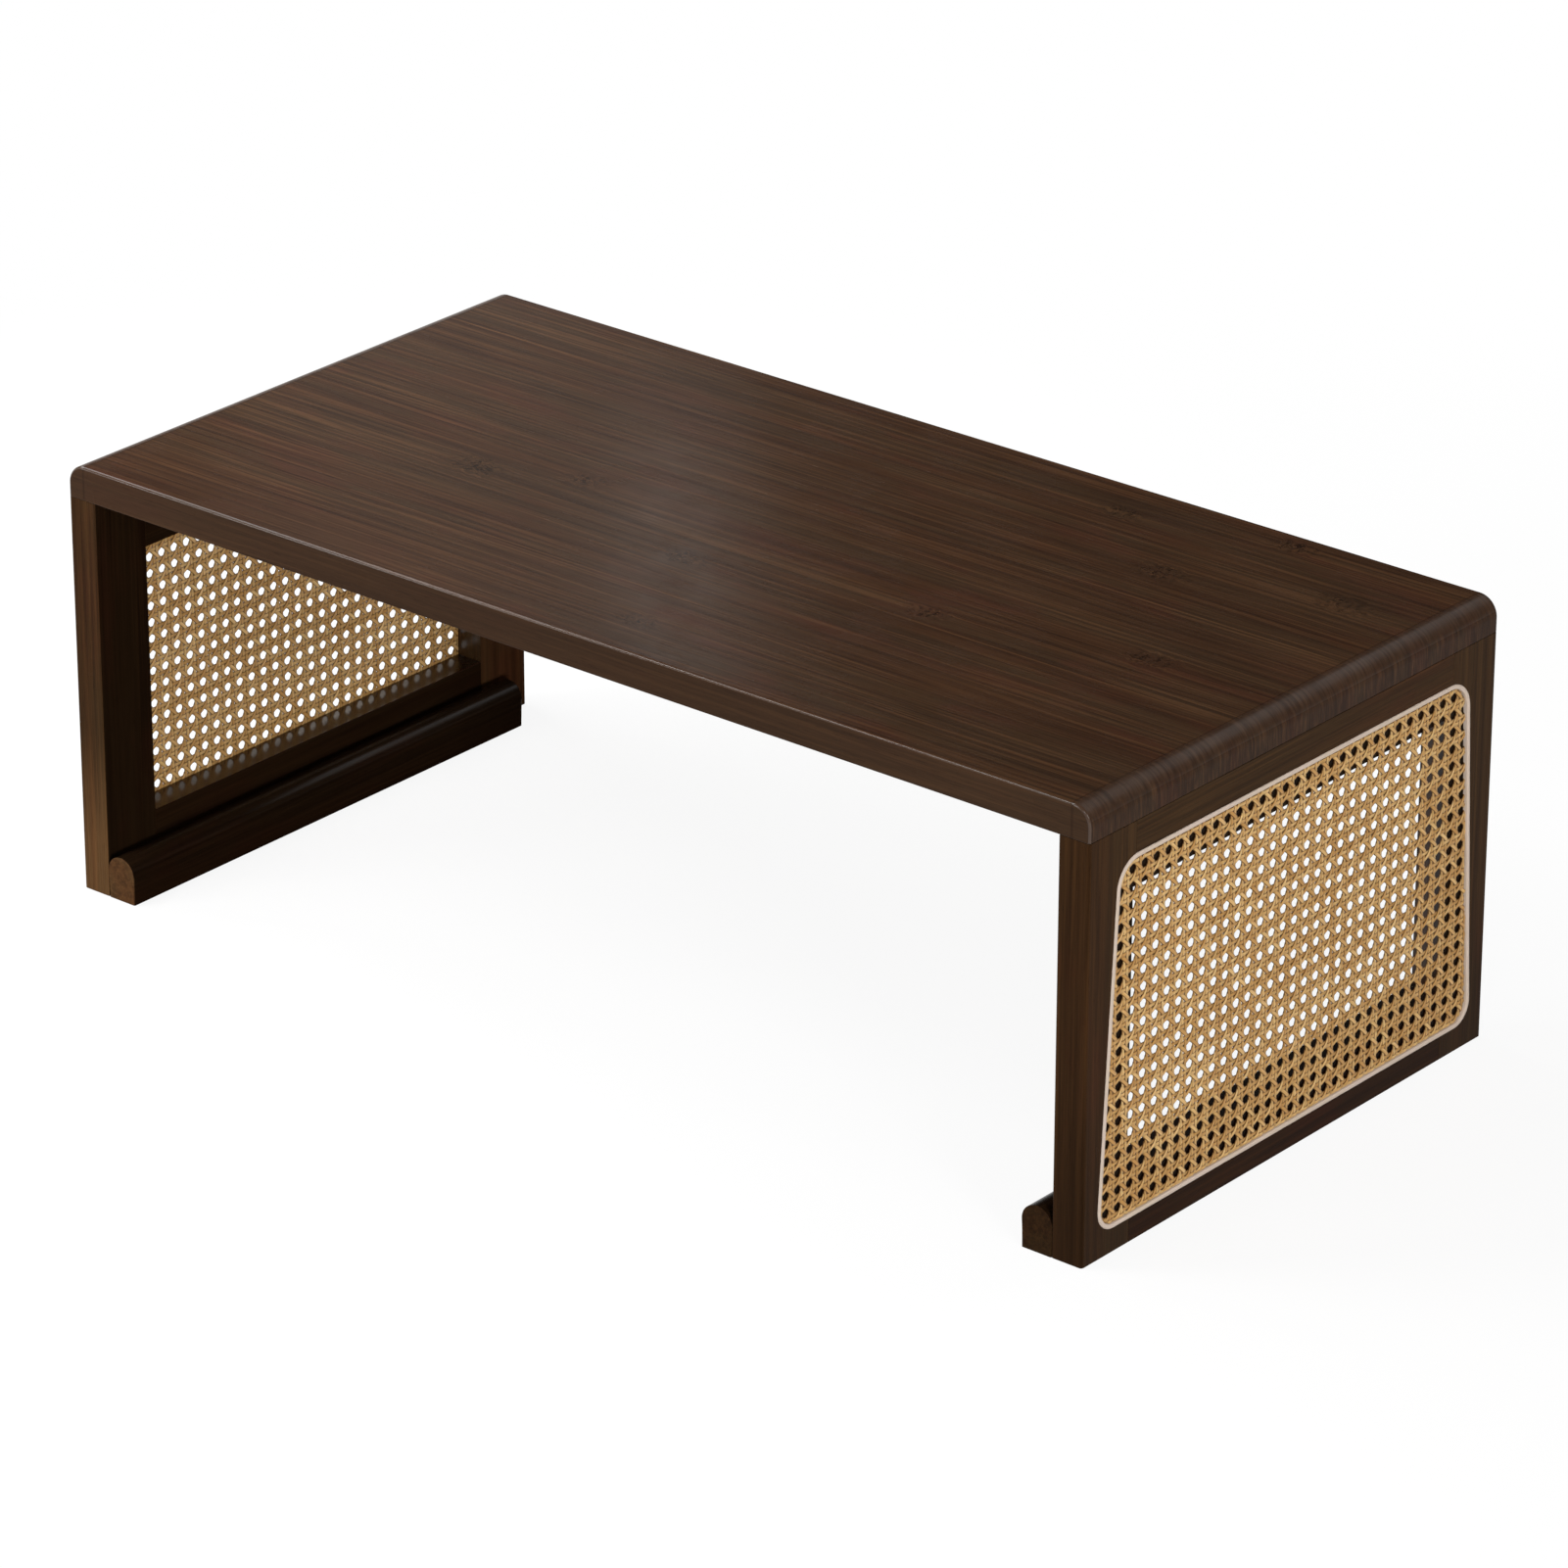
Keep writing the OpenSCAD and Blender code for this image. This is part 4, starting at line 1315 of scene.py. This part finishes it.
class DressHinges(bpy.types.Operator):
    """Finishes the hinge leaves and their pins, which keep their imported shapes"""

    bl_idname = "floor_table.dress_hinges"
    bl_label = "Hinges"

    def execute(self, context):
        light, dark = shade_of(150, 132, 104), shade_of(112, 96, 74)
        bronze = shared("bronzed_leaf", metal, light, dark, 0.34, (300, 6000, 300))
        steel = shared(
            "bright_pin", metal, (0.60, 0.60, 0.62, 1), (0.42, 0.42, 0.44, 1), 0.25, (2000, 60, 2000),
        )
        for side in SIDES:
            for end in ENDS:
                dress_node(f"{side}_{end}_rail_leaf", bronze, 0.12 * MM)
                dress_node(f"{side}_{end}_leg_leaf", bronze, 0.12 * MM)
                dress_node(f"{side}_{end}_hinge_pin", steel, 0.15 * MM)
        return {"FINISHED"}


class DressFittings(bpy.types.Operator):
    """Finishes the dowels and the magnets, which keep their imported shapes"""

    bl_idname = "floor_table.dress_fittings"
    bl_label = "Dowels and magnets"

    def execute(self, context):
        beech = shared("beech_dowel", bare_beech)
        nickel = shared(
            "nickel_magnet", metal, (0.72, 0.71, 0.68, 1), (0.58, 0.57, 0.55, 1), 0.18, (1200, 1200, 1200),
        )
        for side in SIDES:
            dress_node(f"{side}_frame_dowels", beech, 0.3 * MM)
            dress_node(f"{side}_foot_dowels", beech, 0.3 * MM)
            dress_node(f"{side}_leg_magnets", nickel, 0.25 * MM)
        dress_node("top_magnets", nickel, 0.25 * MM)
        return {"FINISHED"}


class BuildStudio(bpy.types.Operator):
    """Sets the floor, the lamps, the surroundings and the camera"""

    bl_idname = "floor_table.build_studio"
    bl_label = "Studio"

    def execute(self, context):
        studio = context.scene.table_studio
        self.lay_floor(studio)
        self.paint_surroundings(context.scene, studio)
        self.hang_lamps(studio)
        self.set_camera(studio)
        context.scene.view_settings.view_transform = "Standard"
        return {"FINISHED"}

    def lay_floor(self, studio):
        reach, drop = 9.0, -0.3 * MM
        corners = [(x * reach, y * reach, drop) for x, y in ((-1, -1), (1, -1), (1, 1), (-1, 1))]
        floor = put("studio_floor", mesh_from("studio_floor", corners, [(0, 1, 2, 3)]))
        material = bpy.data.materials.new("studio_floor")
        floor.data.materials.append(material)
        nodes = NodeTree(material)
        seen = self.seen_ray(nodes)
        tint = nodes.node("MapRange", {0: seen, 3: studio.floor_shade, 4: 1.0}).outputs[0]
        plain = nodes.node("BsdfDiffuse", {"Color": tint}).outputs[0]
        white = nodes.node("Emission", {"Strength": 1.0}).outputs[0]
        # By the table the floor takes a faint shadow; further off it is plain white
        away = nodes.reach(nodes.node("TexCoord").outputs["Object"])
        share = nodes.times(seen, nodes.between(away, 0.5, 1.3, studio.floor_white, 1.0))
        mix = nodes.node("MixShader", {0: share, 1: plain, 2: white})
        nodes.node("OutputMaterial", {"Surface": mix.outputs[0]})

    def seen_ray(self, nodes):
        """1 for what the camera, a reflection or a clear surface shows, and 0 for plain lighting."""
        path = nodes.node("LightPath").outputs
        seen = nodes.math("MAXIMUM", path["Is Camera Ray"], path["Is Glossy Ray"])
        return nodes.math("MAXIMUM", seen, path["Is Transmission Ray"])

    def paint_surroundings(self, scene, studio):
        """White to the camera, white round the horizon to reflections, and a dim even light."""
        scene.world = bpy.data.worlds.new("studio_surroundings")
        nodes = NodeTree(scene.world)
        height = nodes.split(nodes.node("TexCoord").outputs["Generated"])[2]
        camera_ray = nodes.node("LightPath").outputs["Is Camera Ray"]
        white = nodes.math("MAXIMUM", camera_ray, nodes.between(height, 0.04, 0.20, 1.0, 0.03))
        level = nodes.node("Mix", {0: self.seen_ray(nodes), 2: studio.sky_light, 3: white})
        background = nodes.node("Background", {"Color": (1, 1, 1, 1), "Strength": level.outputs[0]})
        nodes.node("OutputWorld", {"Surface": background.outputs[0]})

    def hang_lamps(self, studio):
        """Soft lamps, each aimed at the table: name, place, aim, width, height, power in watts."""
        lamps = (
            ("key_softbox", (-1.13, -1.17, 1.90), (0, 0, 0.25), 1.0, 0.4, 26.5),
            ("low_softbox", (3.5, -1.87, 0.50), (0, 0, 0.15), 0.8, 0.8, 125),
            ("side_softbox", (1.7, -0.5, 1.05), (0.3, 0, 0.15), 0.6, 0.6, 5),
            ("top_softbox", (-0.98, -0.12, 1.0), (-0.4, 0, 0.29), 0.6, 0.6, 9),
            ("left_softbox", (-1.9, 0.35, 0.50), (-0.4, 0, 0.15), 0.7, 0.7, 22),
            ("front_softbox", (-0.45, -2.0, 1.0), (0, 0, 0.15), 0.7, 0.7, 8),
            ("corner_softbox", (-1.0, -1.15, 0.55), (-0.2, 0, 0.2), 0.4, 0.4, 8),
            ("back_softbox", (0.66, 1.36, 1.52), (0.35, 0, 0.28), 1.5, 0.5, 5.5),
            ("corner_spark", (1.20, -1.40, 1.44), (0.39, -0.19, 0.28), 0.24, 0.24, 4.6),
            ("haze_softbox", (-1.2, 0.78, 0.78), (0, 0, 0.29), 0.9, 0.9, 0.20),
            ("sill_softbox", (-0.97, 0.70, 0.45), (-0.39, 0, 0.045), 1.0, 0.12, 0.26),
            ("window_strip", (-0.73, 0.76, 0.78), (-0.02, -0.03, 0.29), 0.09, 0.26, 0.13),
            ("end_strip", (-1.12, 0.91, 0.83), (-0.36, 0, 0.29), 0.3, 0.8, 0.28),
        )
        for name, place, aim, width, height, power in lamps:
            light = bpy.data.lights.new(name, "AREA")
            light.shape = "RECTANGLE"
            light.size = width
            light.size_y = height
            light.energy = power * studio.lamp_light
            lamp = put(name, light)
            lamp.location = place
            lamp.rotation_euler = (Vector(aim) - Vector(place)).to_track_quat("-Z", "Y").to_euler()
            lamp.visible_camera = False
            # The two low lamps only fill: mirrored in the flat top they would glare
            lamp.visible_glossy = name not in ("low_softbox", "left_softbox")

    def set_camera(self, studio):
        camera = put("studio_camera", bpy.data.cameras.new("studio_camera"))
        camera.data.lens = studio.lens
        camera.data.sensor_width = 36
        camera.data.clip_end = 60
        azimuth = Matrix.Rotation(studio.azimuth, 4, "Z")
        tilt = Matrix.Rotation(math.pi / 2 - studio.elevation, 4, "X")
        roll = Matrix.Rotation(studio.roll, 4, "Z")
        camera.matrix_world = Matrix.Translation(studio.place) @ azimuth @ tilt @ roll
        bpy.context.scene.camera = camera


class FloorTablePanel(bpy.types.Panel):
    """Lists the table's sizes, colours and building steps"""

    bl_idname = "VIEW3D_PT_floor_table"
    bl_label = "Folding floor table"
    bl_space_type = "VIEW_3D"
    bl_region_type = "UI"
    bl_category = "Floor table"

    def draw(self, context):
        groups = (
            ("Wood", context.scene.table_wood), ("Cane", context.scene.table_cane),
            ("Studio", context.scene.table_studio),
        )
        for title, group in groups:
            box = self.layout.box()
            box.label(text=title)
            for key in group.__annotations__:
                box.prop(group, key)
        for step in STEPS:
            self.layout.operator(step.bl_idname)


STEPS = (
    BuildTop, BuildStiles, BuildRails, BuildFootBars, DressBattens, BuildCanePanels, BuildSplines,
    BuildScrews, DressHinges, DressFittings, BuildStudio,
)
GROUPS = (WoodProperties, CaneProperties, StudioProperties)


def register():
    for group in (*GROUPS, *STEPS, FloorTablePanel):
        bpy.utils.register_class(group)
    bpy.types.Scene.table_wood = PointerProperty(type=WoodProperties)
    bpy.types.Scene.table_cane = PointerProperty(type=CaneProperties)
    bpy.types.Scene.table_studio = PointerProperty(type=StudioProperties)


def unregister():
    del bpy.types.Scene.table_studio
    del bpy.types.Scene.table_cane
    del bpy.types.Scene.table_wood
    for group in reversed((*GROUPS, *STEPS, FloorTablePanel)):
        bpy.utils.unregister_class(group)


def main():
    register()
    for step in STEPS:
        family, action = step.bl_idname.split(".")
        getattr(getattr(bpy.ops, family), action)()
    bpy.context.view_layer.update()


if __name__ == "__main__":
    main()
